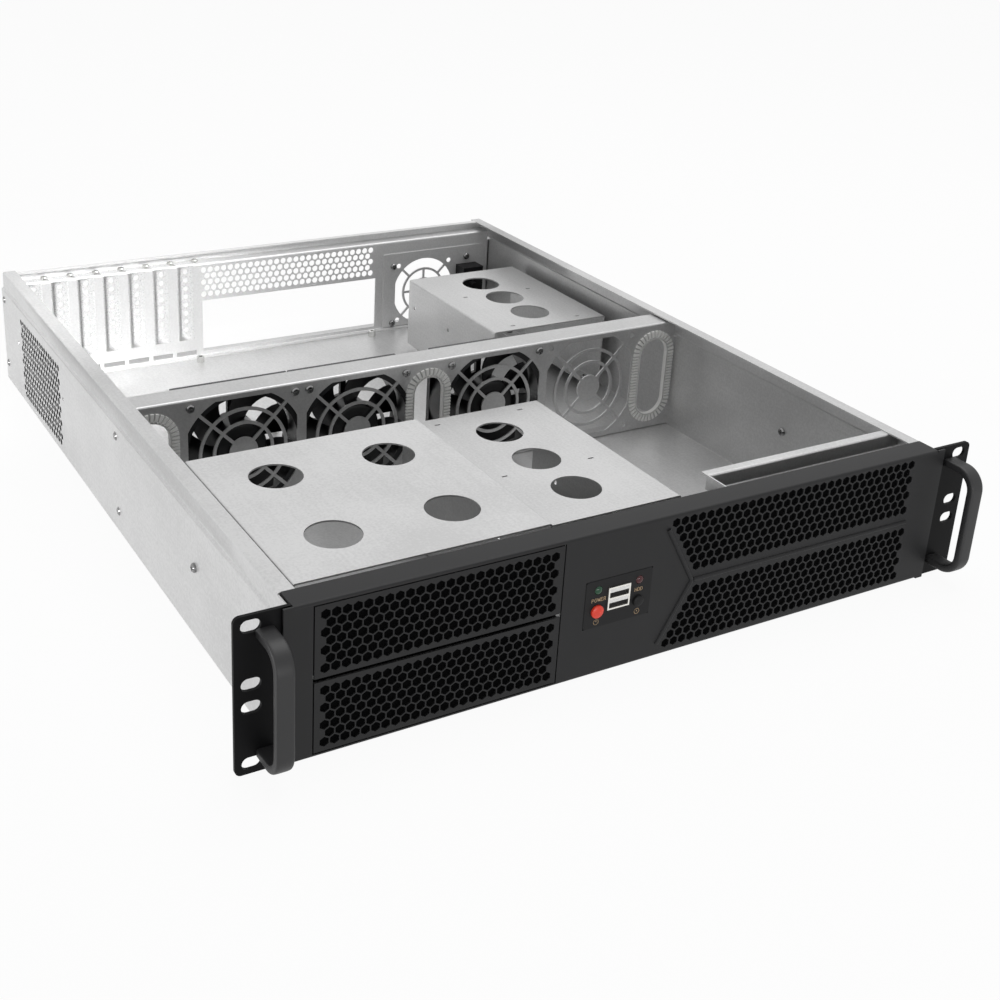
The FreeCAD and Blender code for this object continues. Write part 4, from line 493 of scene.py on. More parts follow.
def make_tray():
    """Floor, walls and rails: a notched front length, then three, the middle one with a pierced left wall.

    Each length is the folded section or a part of it. The vent is rows of holes, every second row
    moved by half a pitch.
    """
    mid = SHEET / 2
    upper = HALF - JOGGLE - mid
    wall = HALF - mid
    top = CASE_TOP - mid
    bend = INNER_BEND + SHEET
    left_upper = [
        (-RAIL_IN, top),
        (-upper, top),
        (-upper, JOGGLE_Z + JOGGLE / 2),
        (-wall, JOGGLE_Z - JOGGLE / 2),
    ]
    right_upper = [(-x, z) for x, z in left_upper[::-1]]
    floor_line = [(-wall, mid), (wall, mid)]
    full = left_upper + floor_line + right_upper
    ear_in = EAR_LOW.x
    notch_top = PANEL_HIGH.z - NOTCH_BELOW_PANEL
    left_notch = [(-upper, notch_top), *left_upper[2:], floor_line[0], (-ear_in, mid)]
    right_notch = [(ear_in, mid), floor_line[1], *right_upper[:2], (upper, notch_top)]
    low_z = bend + MM
    high_z = JOGGLE_Z - JOGGLE / 2 - MM
    above_vent = left_upper + [(-wall, high_z)]
    below_vent = [(-wall, low_z), *floor_line, *right_upper]
    rear_wall = VENT_REAR + VENT_BORDER
    front_wall = VENT_FRONT - VENT_BORDER
    parts = [
        folded(left_notch, TRAY_LOW.y, BODY_FRONT, "y"),
        folded(right_notch, TRAY_LOW.y, BODY_FRONT, "y"),
        folded(full, BODY_FRONT, front_wall, "y"),
        folded(above_vent, front_wall, rear_wall, "y"),
        folded(below_vent, front_wall, rear_wall, "y"),
        folded(full, rear_wall, TRAY_HIGH.y, "y"),
    ]
    shifts = (np.arange(VENT_ROWS) % 2) * VENT_PITCH / 2
    starts = VENT_FRONT + VENT_HOLE / 2 + shifts
    slack = 0.1 * MM
    ends = np.full(VENT_ROWS, VENT_REAR - VENT_HOLE / 2 + slack)
    places = staggered(starts, ends, VENT_TOP - VENT_HOLE / 2, VENT_PITCH, VENT_ROW)
    holes = [round_shape(place, VENT_HOLE, 10) for place in places]
    for y in (VENT_FRONT - BESIDE_VENT, VENT_REAR + BESIDE_VENT):
        holes.append(round_shape((y, BESIDE_VENT_Z), BESIDE_VENT_HOLE, 12))
    outline = rectangle(front_wall, rear_wall, low_z, high_z)
    parts.append(pierced(outline, holes, -HALF, -WALL_IN, "x"))
    return dress(join("tray_with_pierced_wall", parts), "chassis_tray")


# ---------------------------------------------------------------- rear panel and slot covers
SLOT_X = [(low.x + high.x) / 2 for low, high in (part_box("slot_cover_%d" % n) for n in range(1, 8))]
SLOT_OPENING = 9.4 * MM
SLOT_LOW, SLOT_HIGH = 20.3 * MM, 78.6 * MM
FOOT_SLOT = 8.5 * MM
FOOT_LOW, FOOT_HIGH = 2.8 * MM, 6.8 * MM
_, COVER_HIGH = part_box("slot_cover_1")
COVER_SHEET = 0.8 * MM
LEDGE_TOP = COVER_HIGH.z - COVER_SHEET
FOOT_FLANGE = 5.0 * MM
LIP_FLANGE = 6.5 * MM
LIP_DROP = 1.2 * MM
SIDE_FLANGE = 13.0 * MM
SIDE_FLANGE_LOW = 3.0 * MM
RELIEF_DROP = 3.2 * MM
IO_LEFT, IO_RIGHT = -58.6 * MM, 100.15 * MM
IO_BOTTOM, IO_TOP = 4.8 * MM, 49.25 * MM
REAR_VENT_LEFT, REAR_VENT_RIGHT = -57.1 * MM, 95.2 * MM
REAR_VENT_TOP = 75.2 * MM
REAR_VENT_ROWS = 5
PSU_OPENING = (119.9 * MM, 205.0 * MM, 5.0 * MM, 66.5 * MM)


def make_rear_panel():
    """The rear panel: pierced upright, foot, ledge, lip and side flanges.

    The upright is a stepped outline less its holes. The foot, the ledge with its lip and the top
    flange are folded sections pushed across the case.
    """
    bend = INNER_BEND + SHEET
    mid = SHEET / 2
    low, high = SHEET + bend, LEDGE_TOP - SHEET - INNER_BEND
    relief = JOGGLE_Z - RELIEF_DROP
    narrow = STRIP_IN - FIT
    right_half = np.array([[WALL_IN, low], [WALL_IN, relief], [narrow, relief], [narrow, high]])
    outline = np.concatenate([[[-WALL_IN, low]], right_half, (right_half * (-1, 1))[:0:-1]])
    holes = [rectangle(IO_LEFT, IO_RIGHT, IO_BOTTOM, IO_TOP), rectangle(*PSU_OPENING)]
    for x in SLOT_X:
        holes.append(rectangle(x - SLOT_OPENING / 2, x + SLOT_OPENING / 2, SLOT_LOW, SLOT_HIGH))
        holes.append(rectangle(x - FOOT_SLOT, x + FOOT_SLOT, FOOT_LOW, FOOT_HIGH))
    shifts = VENT_PITCH / 2 * (np.arange(REAR_VENT_ROWS) % 2)
    starts = REAR_VENT_LEFT + shifts
    ends = REAR_VENT_RIGHT - shifts
    for place in staggered(starts, ends, REAR_VENT_TOP, VENT_PITCH, VENT_ROW):
        holes.append(round_shape(place, VENT_HOLE, 14))
    y = REAR_IN + mid
    lip = REAR_HIGH.y - mid
    under_top = CASE_TOP - LIP_DROP
    parts = [
        pierced(outline, holes, REAR_IN, REAR_IN + SHEET, "y"),
        folded([(REAR_IN - FOOT_FLANGE, SHEET + mid), (y, SHEET + mid), (y, low)], -WALL_IN, WALL_IN, "x"),
        folded(
            [(y, high), (y, LEDGE_TOP - mid), (lip, LEDGE_TOP - mid), (lip, under_top)],
            -narrow,
            narrow,
            "x",
        ),
        folded(
            [(lip, under_top), (lip, CASE_TOP - mid), (REAR_HIGH.y - LIP_FLANGE, CASE_TOP - mid)],
            -RAIL_IN + FIT,
            RAIL_IN - FIT,
            "x",
        ),
    ]
    for side in (-1, 1):
        flange = sorted((side * WALL_IN, side * (WALL_IN - SHEET)))
        corner = (flange[1], REAR_IN + SIDE_FLANGE, relief)
        parts.append(block((flange[0], REAR_IN, SIDE_FLANGE_LOW), corner))
    return dress(join("pierced_rear_panel", parts), "rear_panel")


COVER_HOLES = 8
COVER_HOLE_TOP = 75.8 * MM
COVER_HOLE_PITCH = 7.1 * MM
COVER_HOLE = 4.3 * MM
COVER_STRIP = 5.5 * MM
COVER_EDGE = 6.9 * MM


def make_slot_cover(number, x):
    """A slot cover: a strip with eight round holes, sloping borders and a tab bent back over the ledge."""
    node = "slot_cover_%d" % number
    low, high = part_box(node)
    strip, edge = COVER_STRIP, COVER_EDGE
    mid = COVER_SHEET / 2
    bend = LEDGE_TOP - MM
    heights = [COVER_HOLE_TOP - COVER_HOLE_PITCH * hole for hole in range(COVER_HOLES)]
    holes = [round_shape((x, height), COVER_HOLE, 16) for height in heights]
    front = REAR_IN - COVER_SHEET
    y = REAR_IN - mid
    level = LEDGE_TOP + mid
    parts = [
        pierced(rectangle(x - strip, x + strip, low.z, bend), holes, front, REAR_IN, "y"),
        folded([(y, bend), (y, level), (high.y, level)], x - edge, x + edge, "x", COVER_SHEET),
    ]
    for side in (-1, 1):
        border = [(x + side * strip, front), (x + side * edge, REAR_IN - FIT), (x + side * edge, REAR_IN)]
        border.append((x + side * strip, REAR_IN))
        parts.append(extruded(border, low.z, bend, "z"))
        wide = sorted((x + side * edge, x + side * (high.x - low.x) / 2))
        parts.append(block((wide[0], REAR_IN + MM, LEDGE_TOP), (wide[1], high.y, high.z)))
    return dress(join("slot_cover_strip_%d" % number, parts), node)


# ---------------------------------------------------------------- front
FRONT_SHEET = 1.2 * MM
FRONT_Y = -2.4 * MM + EAR_LOW.y
HOLE_ACROSS = 4.95 * MM
MESH_PITCH = 5.89 * MM
MESH_ROW = 5.08 * MM
COVER_PITCH = 5.67 * MM
COVER_ROW = 5.0 * MM
FIELD_ROWS = 7
FIELD_RIGHT = 191.6 * MM
UPPER_FIELD = (13.0 * MM, 83.0 * MM)
LOWER_FIELD = (32.2 * MM, 37.4 * MM)
BAY_LEFT, BAY_RIGHT = -201.8 * MM, -58.6 * MM
BAY_RAIL = 1.8 * MM
RIDGE_TOP = 80.0 * MM
RIDGE_LEFT = 8.0 * MM
RIDGE_RIGHT = 193.0 * MM
RIDGE_SLOPE = math.tan(math.radians(29.5))
RIDGE_SECTION = (2.6 * MM, 1.2 * MM)


def mesh_places():
    """The two fields of front holes: seven rows above and below the level ridge.

    Going away from the ridge, each row starts half a pitch further left, so the left ends form an arrow.
    """
    rows = np.arange(FIELD_ROWS)
    fields = []
    for (left, top), way in ((UPPER_FIELD, 1), (LOWER_FIELD, -1)):
        starts = left + way * rows * MESH_PITCH / 2
        ends = starts + np.floor((FIELD_RIGHT - starts) / MESH_PITCH) * MESH_PITCH
        fields.append(staggered(starts, ends + 1e-6, top, MESH_PITCH, MESH_ROW))
    return np.concatenate(fields)


def ridge(path, width, height):
    """A pressed ridge: a half-round section carried along a path of (x, z) points on the front face."""
    path = np.asarray(path, float)
    legs = np.diff(path, axis=0)
    ways = legs / np.linalg.norm(legs, axis=1)[:, None]
    ways = np.concatenate([ways[:1], (ways[:-1] + ways[1:]) / 2, ways[-1:]])
    lengths = np.linalg.norm(ways, axis=1)
    sides = np.stack([-ways[:, 1], ways[:, 0]], axis=1) / lengths[:, None] ** 2
    angles = np.linspace(0, math.pi, 9)
    across = np.cos(angles) * width / 2
    rise = np.sin(angles) * height
    flat = path[:, None, :] + sides[:, None, :] * across[None, :, None]
    points = np.stack([flat[..., 0], np.broadcast_to(FRONT_Y - rise, flat.shape[:2]), flat[..., 1]], axis=-1)
    return points.reshape(-1, 3), tube_faces(len(path), len(angles))


def make_front_panel():
    """The front sheet with its mesh, the openings for covers and controls, the ridges and flanges.

    The sheet is an outline less its holes, and each flange a folded section pushed across it.
    """
    half = PANEL_HIGH.x
    flange_half = EAR_LOW.x - 2 * FIT
    bend = INNER_BEND + FRONT_SHEET
    top = PANEL_HIGH.z
    left_foot = [(-half, 0), (-flange_half, 0), (-flange_half, bend)]
    lower = left_foot + [(-x, z) for x, z in left_foot[::-1]]
    outline = np.array(lower + [(x, top - z) for x, z in lower[::-1]])
    plate_low, plate_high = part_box("control_plate")
    rim = 1.5 * MM
    bay_low = BAY_RAIL + 0.02 * MM
    holes = [
        rectangle(BAY_LEFT, BAY_RIGHT, bay_low, top - bay_low),
        rectangle(plate_low.x + rim, plate_high.x - rim, plate_low.z + rim, plate_high.z - rim),
    ]
    holes += [hexagon(place, HOLE_ACROSS) for place in mesh_places()]
    mid = FRONT_SHEET / 2
    y = FRONT_Y + mid
    rear = PANEL_HIGH.y
    upper_flange = [(y, top - bend), (y, top - mid), (rear, top - mid)]
    lower_flange = [(rear, mid), (y, mid), (y, bend)]
    middle = top / 2
    apex = RIDGE_LEFT + (RIDGE_TOP - middle) * RIDGE_SLOPE
    parts = [
        pierced(outline, holes, FRONT_Y, FRONT_Y + FRONT_SHEET, "y"),
        folded(upper_flange, -flange_half, flange_half, "x", FRONT_SHEET),
        folded(lower_flange, -flange_half, flange_half, "x", FRONT_SHEET),
        ridge([(RIDGE_LEFT, RIDGE_TOP), (apex, middle), (RIDGE_LEFT, top - RIDGE_TOP)], *RIDGE_SECTION),
        ridge([(apex + MM, middle), (RIDGE_RIGHT, middle)], *RIDGE_SECTION),
    ]
    return dress(join("pierced_front_panel", parts), "front_panel")


def make_bay_cover(node):
    """A bay cover pierced by seven staggered rows, with a flange turned back along each side.

    The rows lie evenly about the cover's middle, and every second row has one hole less.
    """
    low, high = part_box(node)
    middle = (low.z + high.z) / 2
    centre = (low.x + high.x) / 2
    columns = 24 - np.arange(FIELD_ROWS) % 2
    starts = centre - (columns - 1) / 2 * COVER_PITCH
    ends = starts + (columns - 1) * COVER_PITCH + 1e-6
    top = middle + (FIELD_ROWS - 1) / 2 * COVER_ROW
    places = staggered(starts, ends, top, COVER_PITCH, COVER_ROW)
    holes = [hexagon(place, HOLE_ACROSS) for place in places]
    gap = 0.4 * MM
    outline = rectangle(low.x + gap, high.x - gap, low.z + gap, high.z - gap)
    parts = [pierced(outline, holes, low.y, low.y + FRONT_SHEET, "y")]
    clip = 4 * MM
    for x in (low.x + gap, high.x - gap - FRONT_SHEET):
        parts.append(block((x, low.y + FRONT_SHEET, low.z + clip), (x + FRONT_SHEET, high.y, high.z - clip)))
    return dress(join(node + "_pierced", parts), node)


# ---------------------------------------------------------------- handles
HANDLE_BEND = 11.5 * MM
HANDLE_THICK = 5.0 * MM


def make_handle(side):
    """A bow handle: an oblong section with rounded edges carried along a path with two round corners.

    Round the section both half sizes are multiplied by the cosine and the sine, each with its size
    raised to a power of 0.35, which fills out the corners.
    """
    node = "handle_" + side
    low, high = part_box(node)
    thick = HANDLE_THICK
    width = high.x - low.x
    centre_x = (low.x + high.x) / 2
    path, normals = rounded_path(
        [
            (high.y, low.z + thick / 2),
            (low.y + thick / 2, low.z + thick / 2),
            (low.y + thick / 2, high.z - thick / 2),
            (high.y, high.z - thick / 2),
        ],
        HANDLE_BEND,
        steps=16,
    )
    angles = np.arange(32) / 32 * 2 * math.pi
    squareness = 0.35
    across = np.sign(np.cos(angles)) * np.abs(np.cos(angles)) ** squareness * width / 2
    through = np.sign(np.sin(angles)) * np.abs(np.sin(angles)) ** squareness * thick / 2
    flat = path[:, None, :] + normals[:, None, :] * through[None, :, None]
    xs = np.broadcast_to(centre_x + across, flat.shape[:2])
    points = np.stack([xs, flat[..., 0], flat[..., 1]], axis=-1)
    faces = tube_faces(len(path), len(angles))
    made = dress(mesh_object("bow_handle_" + side, points, faces, 50.0), node)
    made.data.materials[0] = HANDLE_COAT
    return made


# ---------------------------------------------------------------- cable hole edging
def oblong_line(travel, radius, straight):
    """Points and outward normals round an upright oblong, each given by its way along the line.

    The way goes up the right side, over the upper half circle, down the left and round the lower one.
    """
    stops = np.cumsum([2 * straight, math.pi * radius, 2 * straight])
    leg = np.searchsorted(stops, travel, side="right")
    level = np.zeros_like(travel)
    turn_top = (travel - stops[0]) / radius
    turn_bottom = math.pi + (travel - stops[2]) / radius
    angle = np.choose(leg, [level, turn_top, level + math.pi, turn_bottom])
    up = np.choose(leg, [travel - straight, level + straight, straight + stops[1] - travel, level - straight])
    normal = np.column_stack([np.cos(angle), np.sin(angle)])
    return np.column_stack([level, up]) + radius * normal, normal


def make_edging(name):
    """Toothed edging round an upright oblong hole: a collar that lines it and teeth side by side in front.

    The line is walked at equal steps of one tooth, and each tooth is a small block square to it that
    leaves a share of its step open.
    """
    node = "cable_edging_" + name
    low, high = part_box(node)
    centre = np.array([(low.x + high.x) / 2, (low.z + high.z) / 2])
    band = 5.2 * MM
    thick = 1.2 * MM
    tooth = 2.3 * MM
    open_share = 0.36
    radius = (high.x - low.x) / 2 - band - thick
    straight = (high.z - low.z) / 2 - band - thick - radius
    length = 2 * math.pi * radius + 4 * straight
    teeth = int(round(length / tooth))

    line, normal = oblong_line(np.arange(2 * teeth) * length / (2 * teeth), radius, straight)
    count = len(line)
    outs = np.array([0.0, thick, thick, 0.0])
    levels = np.array([low.y, low.y, high.y, high.y])
    flat = centre + line + normal * outs[:, None, None]
    rings = np.stack([flat[..., 0], np.repeat(levels[:, None], count, axis=1), flat[..., 1]], axis=-1)
    here = np.arange(count)
    after = np.roll(here, -1)
    corner = np.arange(4)[:, None] * count
    beyond = np.roll(corner, -1)
    faces = np.stack([corner + here, corner + after, beyond + after, beyond + here], axis=-1)
    parts = [(rings, faces.reshape(-1, 4).tolist())]

    edges = np.arange(teeth)[:, None] + np.array([open_share / 2, 1 - open_share / 2])
    line, normal = oblong_line(edges.ravel() * length / teeth, radius, straight)
    reach = np.array([thick / 2, thick + band])
    flat = (centre + line[:, None] + normal[:, None] * reach[:, None]).reshape(teeth, 2, 2, 1, 2)
    grid = np.empty((teeth, 2, 2, 2, 3))
    grid[..., 0] = flat[..., 0]
    grid[..., 1] = np.array([low.y, low.y + thick])
    grid[..., 2] = flat[..., 1]
    sides = np.array(BLOCK_FACES) + np.arange(teeth)[:, None, None] * 8
    parts.append((grid, sides.reshape(-1, 4).tolist()))
    return dress(join("toothed_edging_" + name, parts), node)


# ---------------------------------------------------------------- side vent and fans
def add_piece(made, finish, body="case"):
    """Puts a piece that no node has on its body, in a finish."""
    made.data.materials.append(FINISHES[finish])
    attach(made, body)
    return made


def make_side_vent_shade():
    """A thin black sheet, its corners cut off, pushed through its thickness: painted shade for the side vent.

    It is set into the left wall's sheet, 0.35 mm below the outer face. There it hides the lit rims of the
    vent's holes so they look black, a painted shade.
    """
    lap = 3.0 * MM
    corner = 4.0 * MM
    sunk = 0.35 * MM
    shade_thick = 1.0 * MM
    front, rear = VENT_FRONT - lap, VENT_REAR + lap
    low, high = 3.0 * MM, VENT_TOP + lap
    outline = [
        (front + corner, low),
        (rear - corner, low),
        (rear, low + corner),
        (rear, high - corner),
        (rear - corner, high),
        (front + corner, high),
        (front, high - corner),
        (front, low + corner),
    ]
    made = mesh_object("side_vent_painted_shade", *extruded(outline, sunk - HALF, sunk - HALF + shade_thick, "x"))
    return add_piece(made, "black_foam")


ROTOR_BLADES = 7
ROTOR_HUB = 17.5 * MM
BLADE_DEPTH = 15.5 * MM
BLADE_HALF = 0.7 * MM


def make_rotor(number):
    """A fan rotor: seven broad twisted blades about a hub with a rounded front edge.

    At a share t of the way from hub to tip a blade's chord spans 47 + 2 t degrees about the axis and
    lags by 14 degrees times t squared. At a share s of the way along the chord the blade lies back by
    its depth times 0.2 + 0.8 s - 0.2 (1 - s) squared. The hub is drawn as a closed solid without the
    shaft, so the frame's bearing tube runs into it.
    """
    node = "fan_rotor_%d" % number
    low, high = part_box(node)
    centre = ((low.x + high.x) / 2, (low.z + high.z) / 2)
    hub, tip = ROTOR_HUB, (high.x - low.x) / 2
    front, rear = low.y, low.y + BLADE_DEPTH + 1.5 * MM
    pole = 0.3 * MM
    profile = [
        (pole, front),
        (hub - 3 * MM, front),
        (hub - MM, front + 0.6 * MM),
        (hub, front + 2 * MM),
        (hub, rear),
        (pole, rear),
    ]
    parts = [lathe(profile, centre, 48)]
    rows, columns = 7, 9
    radius = np.linspace(hub - 0.5 * MM, tip, rows)[:, None]
    share = (radius - hub) / (tip - hub)
    along = np.linspace(0.0, 1.0, columns)[None, :]
    span = np.radians(47.0 + 2.0 * share)
    lag = np.radians(14.0) * share**2
    angle = -lag - span * along
    level = front + MM + (BLADE_DEPTH - 2 * MM) * (0.2 + 0.8 * along - 0.2 * (1 - along) ** 2)
    grid = np.arange(rows * columns).reshape(rows, columns)
    quads = np.stack([grid[:-1, :-1], grid[1:, :-1], grid[1:, 1:], grid[:-1, 1:]], axis=-1).reshape(-1, 4)
    rim = np.concatenate([grid[0, :], grid[1:, -1], grid[-1, -2::-1], grid[-2:0:-1, 0]])
    after = np.roll(rim, -1)
    beyond = rows * columns
    walls = np.stack([after, rim, rim + beyond, after + beyond], axis=-1)
    faces = np.concatenate([quads, quads[:, ::-1] + beyond, walls]).tolist()
    for blade in range(ROTOR_BLADES):
        turn = angle + math.radians(62.0) - blade * 2 * math.pi / ROTOR_BLADES
        across = centre[0] + radius * np.cos(turn)
        up = centre[1] + radius * np.sin(turn)
        backs = [np.broadcast_to(level + side, turn.shape) for side in (-BLADE_HALF, BLADE_HALF)]
        parts.append((np.stack([np.stack([across, back, up], axis=-1) for back in backs]), faces))
    return dress(join("bladed_rotor_%d" % number, parts), node, "fan_rotor_%d" % number)


# ---------------------------------------------------------------- controls
def make_cap(node, name, diameter, body, dome):
    """A push button or lamp: its end turned to a shallow dome, on a stem through the plate."""
    low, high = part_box(node)
    centre = ((low.x + high.x) / 2, (low.z + high.z) / 2)
    angles = np.linspace(0.06, math.pi / 2, 9)
    radius = diameter / 2
    profile = [(radius * math.sin(a), low.y + dome * (1 - math.cos(a))) for a in angles]
    profile.append((radius, high.y - 0.5 * MM))
    made = mesh_object(name, *lathe(profile, centre), sharp_degrees=60.0)
    return dress(made, node, body)


def make_foot_shade_slip():
    """A thin black slip, its lower corners cut off, pushed through its thickness: painted shade over the
    bracket's foot.

    It is set into the back of the front sheet, so that the lit foot doesn't show in the holes and they read
    dark, a painted shade.
    """
    low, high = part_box("front_bracket")
    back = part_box("bay_cover_upper")[0].y + FRONT_SHEET
    left, right = low.x - MM, low.x + 8.5 * MM
    bottom, top = high.z - 10.5 * MM, high.z
    corner = MM
    outline = [
        (left + corner, bottom),
        (right - corner, bottom),
        (right, bottom + corner),
        (right, top),
        (left, top),
        (left, bottom + corner),
    ]
    made = mesh_object("bracket_foot_painted_shade", *extruded(outline, back - 0.45 * MM, back - 0.1 * MM, "y"))
    return add_piece(made, "black_foam")


def make_sockets():
    """Two stacked sockets: a plated shell with two wells, a white tongue in each, and a black block just
    behind the front of each well, painted shade that makes the well look deep.
    """
    low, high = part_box("usb_ports")
    front = low.y - 0.4 * MM
    rear = high.y - 1.0 * MM
    wall = 0.9 * MM
    tongue = 2.5 * MM
    middle = (low.z + high.z) / 2
    wells = [
        rectangle(low.x + wall, high.x - wall, low.z + wall, middle - wall / 2),
        rectangle(low.x + wall, high.x - wall, middle + wall / 2, high.z - wall),
    ]
    shell = pierced(rectangle(low.x, high.x, low.z, high.z), wells, front, rear, "y")
    dress(join("socket_shell", [shell]), "usb_ports")
    tongues, backs = [], []
    for well in wells:
        left, right, bottom, top = well[0, 0], well[1, 0], well[0, 1], well[2, 1]
        shelf = top - tongue
        outline = [
            (front + 0.4 * MM, shelf),
            (front + 0.1 * MM, shelf + 0.3 * MM),
            (front + 0.1 * MM, top - 0.2 * MM),
            (front + 0.4 * MM, top),
            (rear - 1.5 * MM, top),
            (rear - 1.5 * MM, shelf),
        ]
        tongues.append(extruded(outline, left, right, "x"))
        # A black block 1.3 mm behind the front: painted shade for the depth of the well.
        backs.append(block((left, front + 1.3 * MM, bottom), (right, rear, shelf - 0.1 * MM)))
    add_piece(join("socket_tongues", tongues), "white_nylon")
    add_piece(join("socket_well_painted_shade", backs), "black_moulding")


def stroke(points, width, level):
    """A printed line: short blocks laid end to end along a path, each as wide as the pen."""
    points = np.asarray(points, float)
    parts = []
    for start, end in zip(points[:-1], points[1:]):
        along = (end - start) / np.linalg.norm(end - start)
        aside = np.array([-along[1], along[0]]) * width / 2
        start, end = start - along * width / 3, end + along * width / 3
        outline = [start - aside, end - aside, end + aside, start + aside]
        parts.append(extruded(outline, level - 0.06 * MM, level + 0.02 * MM, "y"))
    return parts


LETTERS = {
    "P": [[(0, 0), (0, 1), (0.5, 1), (0.62, 0.75), (0.5, 0.5), (0, 0.5)]],
    "O": [
        [(0.15, 0), (0, 0.25), (0, 0.75), (0.15, 1), (0.5, 1)]
        + [(0.65, 0.75), (0.65, 0.25), (0.5, 0), (0.15, 0)]
    ],
    "W": [[(0, 1), (0.2, 0), (0.4, 0.8), (0.6, 0), (0.8, 1)]],
    "E": [[(0.6, 0), (0, 0), (0, 1), (0.6, 1)], [(0, 0.5), (0.5, 0.5)]],
    "R": [[(0, 0), (0, 1), (0.5, 1), (0.62, 0.75), (0.5, 0.5), (0, 0.5)], [(0.3, 0.5), (0.62, 0)]],
    "H": [[(0, 0), (0, 1)], [(0.65, 0), (0.65, 1)], [(0, 0.5), (0.65, 0.5)]],
    "D": [[(0, 0), (0, 1), (0.4, 1), (0.62, 0.75), (0.62, 0.25), (0.4, 0), (0, 0)]],
}


PEN = 0.32 * MM
LETTER_TALL = 2.0 * MM
LETTER_GAP = 0.28
WORDS = (("POWER", (-12.9 * MM, 1.5 * MM)), ("HDD", (13.4 * MM, 1.6 * MM)))
SIGN_RADIUS = 1.6 * MM
POWER_SIGN = (-13.5 * MM, -11.2 * MM)
RESET_SIGN = (13.5 * MM, -11.2 * MM)


def sign(centre, opening, reach, pen, level):
    """A ring, open at the top by an angle to each side, and a stroke from near its middle upwards."""
    angles = np.linspace(math.pi / 2 + opening, 5 * math.pi / 2 - opening, 17)
    ring = centre + SIGN_RADIUS * np.column_stack([np.cos(angles), np.sin(angles)])
    up = np.array([0.0, reach])
    return stroke(ring, PEN, level) + stroke([centre + up * 0.1, centre + up], pen, level)


def make_print():
    """The printed words and signs of the control plate, drawn as strokes of one pen.

    A word is set letter by letter about its middle. The power sign is an arc open at the top with an
    upright stroke, and the reset sign is a ring with a dot.
    """
    low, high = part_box("control_plate")
    level = low.y
    middle = np.array([(low.x + high.x) / 2, (low.z + high.z) / 2])
    parts = []
    for word, place in WORDS:
        widths = [0.8 if letter == "W" else 0.65 for letter in word]
        at = -(sum(widths) + LETTER_GAP * (len(word) - 1)) / 2
        for letter, width in zip(word, widths):
            for line in LETTERS[letter]:
                flat = np.array(line) + (at, 0)
                parts += stroke(flat * LETTER_TALL + middle + place, PEN, level)
            at += width + LETTER_GAP
    parts += sign(middle + POWER_SIGN, 0.7, 1.9 * MM, PEN, level)
    parts += sign(middle + RESET_SIGN, 0.0, 0.25 * MM, 2 * PEN, level)
    made = add_piece(join("plate_print", parts), "white_nylon")
    made.data.materials[0] = INK
    return made


make_tray()
make_rear_panel()
for slot_number, slot_x in enumerate(SLOT_X, 1):
    make_slot_cover(slot_number, slot_x)
make_front_panel()
make_bay_cover("bay_cover_upper")
make_bay_cover("bay_cover_lower")
make_handle("left")
make_handle("right")
for edging_name in ("left", "middle", "right"):
    make_edging(edging_name)
make_side_vent_shade()
for rotor_number in (1, 2, 3):
    make_rotor(rotor_number)
make_foot_shade_slip()
make_sockets()
make_print()
make_cap("power_button", "domed_power_button", 7.7 * MM, "power_button", 1.0 * MM)
make_cap("reset_button", "domed_reset_button", 6.6 * MM, "reset_button", 0.9 * MM)
make_cap("power_led", "power_lamp_lens", 5.0 * MM, "case", 1.2 * MM)
make_cap("disk_led", "disk_lamp_lens", 5.0 * MM, "case", 1.2 * MM)


# ---------------------------------------------------------------- floor, light and camera
def straight_look(tree):
    """One for rays from the camera, a reflection or through glass, and nothing for soft light."""
    path = add(tree, "ShaderNodeLightPath")
    straight = {0: path.outputs["Is Camera Ray"], 1: path.outputs["Is Glossy Ray"]}
    seen = add(tree, "ShaderNodeMath", straight, operation="MAXIMUM")
    either = {0: seen.outputs[0], 1: path.outputs["Is Transmission Ray"]}
    through = add(tree, "ShaderNodeMath", either, operation="MAXIMUM")
    return through.outputs[0]


FLOOR_GLOW = 0.94
WORLD_LIGHT = 0.34


def make_stage():
    """A wide white floor; seen by the camera or in metal it is white, and it keeps a faint shadow."""
    made, tree, _place = new_material("white_paper_floor")
    share = add(tree, "ShaderNodeMath", {0: straight_look(tree), 1: FLOOR_GLOW}, operation="MULTIPLY")
    paper = add(tree, "ShaderNodeBsdfDiffuse", {"Color": colour("#f4f4f4")})
    glow = add(tree, "ShaderNodeEmission", {"Color": colour("#ffffff"), "Strength": 1.0})
    layers = {0: share.outputs[0], 1: paper.outputs[0], 2: glow.outputs[0]}
    mixed = add(tree, "ShaderNodeMixShader", layers)
    close_material(tree, mixed)
    span = 6.0
    corners = at_level(rectangle(-span, span, -span, span), 0.0, "z")
    floor = mesh_object("floor", corners, [[0, 1, 2, 3]])
    floor.data.materials.append(made)


def make_world():
    """A white studio: white to the camera and in reflections, and a third as bright as soft light."""
    world = bpy.data.worlds.new("white_studio")
    world.use_nodes = True
    tree = world.node_tree
    tree.nodes.clear()
    span = {"Value": straight_look(tree), "To Min": WORLD_LIGHT, "To Max": 1.0}
    strength = add(tree, "ShaderNodeMapRange", span)
    back = add(tree, "ShaderNodeBackground", {"Color": colour("#ffffff"), "Strength": strength.outputs[0]})
    add(tree, "ShaderNodeOutputWorld", {"Surface": back.outputs[0]})
    bpy.context.scene.world = world


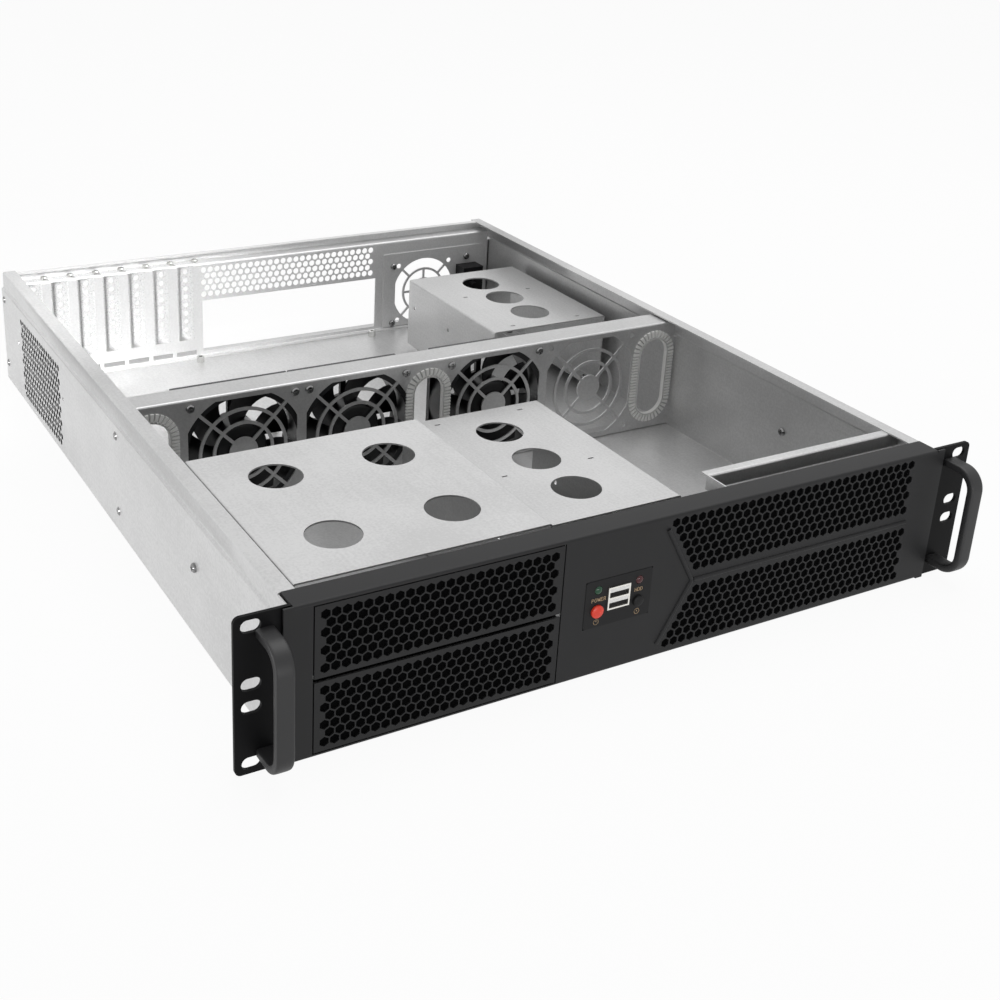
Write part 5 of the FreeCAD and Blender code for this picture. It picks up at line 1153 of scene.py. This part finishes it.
def make_softbox(name, place, aim, wide, high, power, spread=180.0):
    """A rectangular soft light that faces a point."""
    lamp = bpy.data.lights.new(name, "AREA")
    lamp.shape = "RECTANGLE"
    lamp.size = wide
    lamp.size_y = high
    lamp.energy = power
    lamp.spread = math.radians(spread)
    holder = bpy.data.objects.new(name, lamp)
    bpy.context.scene.collection.objects.link(holder)
    holder.visible_camera = False
    holder.location = place
    holder.rotation_euler = (Vector(aim) - Vector(place)).to_track_quat("-Z", "Y").to_euler()


CAMERA_PLACE = (-0.4499, -0.7980, 0.4412)
CAMERA_AIM = (0.0552, 0.0570, 0.0400)
CAMERA_ROLL = 2.745
CAMERA_LENS = 51.96
CAMERA_SHIFT = (0.05, -0.12)


def make_camera():
    """A camera at the front left, above the case, turned a little about its own axis."""
    lens_data = bpy.data.cameras.new("camera")
    holder = bpy.data.objects.new("camera", lens_data)
    bpy.context.scene.collection.objects.link(holder)
    lens_data.sensor_width = 36.0
    lens_data.lens = CAMERA_LENS
    lens_data.shift_x = CAMERA_SHIFT[0]
    lens_data.shift_y = CAMERA_SHIFT[1]
    lens_data.clip_start = 0.01
    forward = (Vector(CAMERA_AIM) - Vector(CAMERA_PLACE)).normalized()
    turn = forward.to_track_quat("-Z", "Y").to_matrix() @ Matrix.Rotation(math.radians(CAMERA_ROLL), 3, "Z")
    holder.matrix_world = Matrix.Translation(CAMERA_PLACE) @ turn.to_4x4()
    bpy.context.scene.camera = holder


make_stage()
make_world()
# A high lamp for the tops and the floor, two low ones for the left side and the front, and a small
# narrow one that lifts the rear left corner.
make_softbox("high_soft_light", (0.45, 0.1, 1.9), (0, 0, 0), 1.4, 1.4, 19.0)
make_softbox("low_side_light", (-2.2, 0.1, 0.09), (0, 0.1, 0.09), 1.8, 0.16, 19.0)
make_softbox("low_front_light", (-0.2, -2.4, 0.07), (-0.1, 0, 0.07), 1.6, 0.12, 12.0)
make_softbox("rear_corner_light", (-0.15, -0.02, 0.26), (-0.15, 0.27, 0.04), 0.24, 0.06, 0.2, 50.0)
make_camera()

bpy.context.scene.view_settings.view_transform = "Standard"
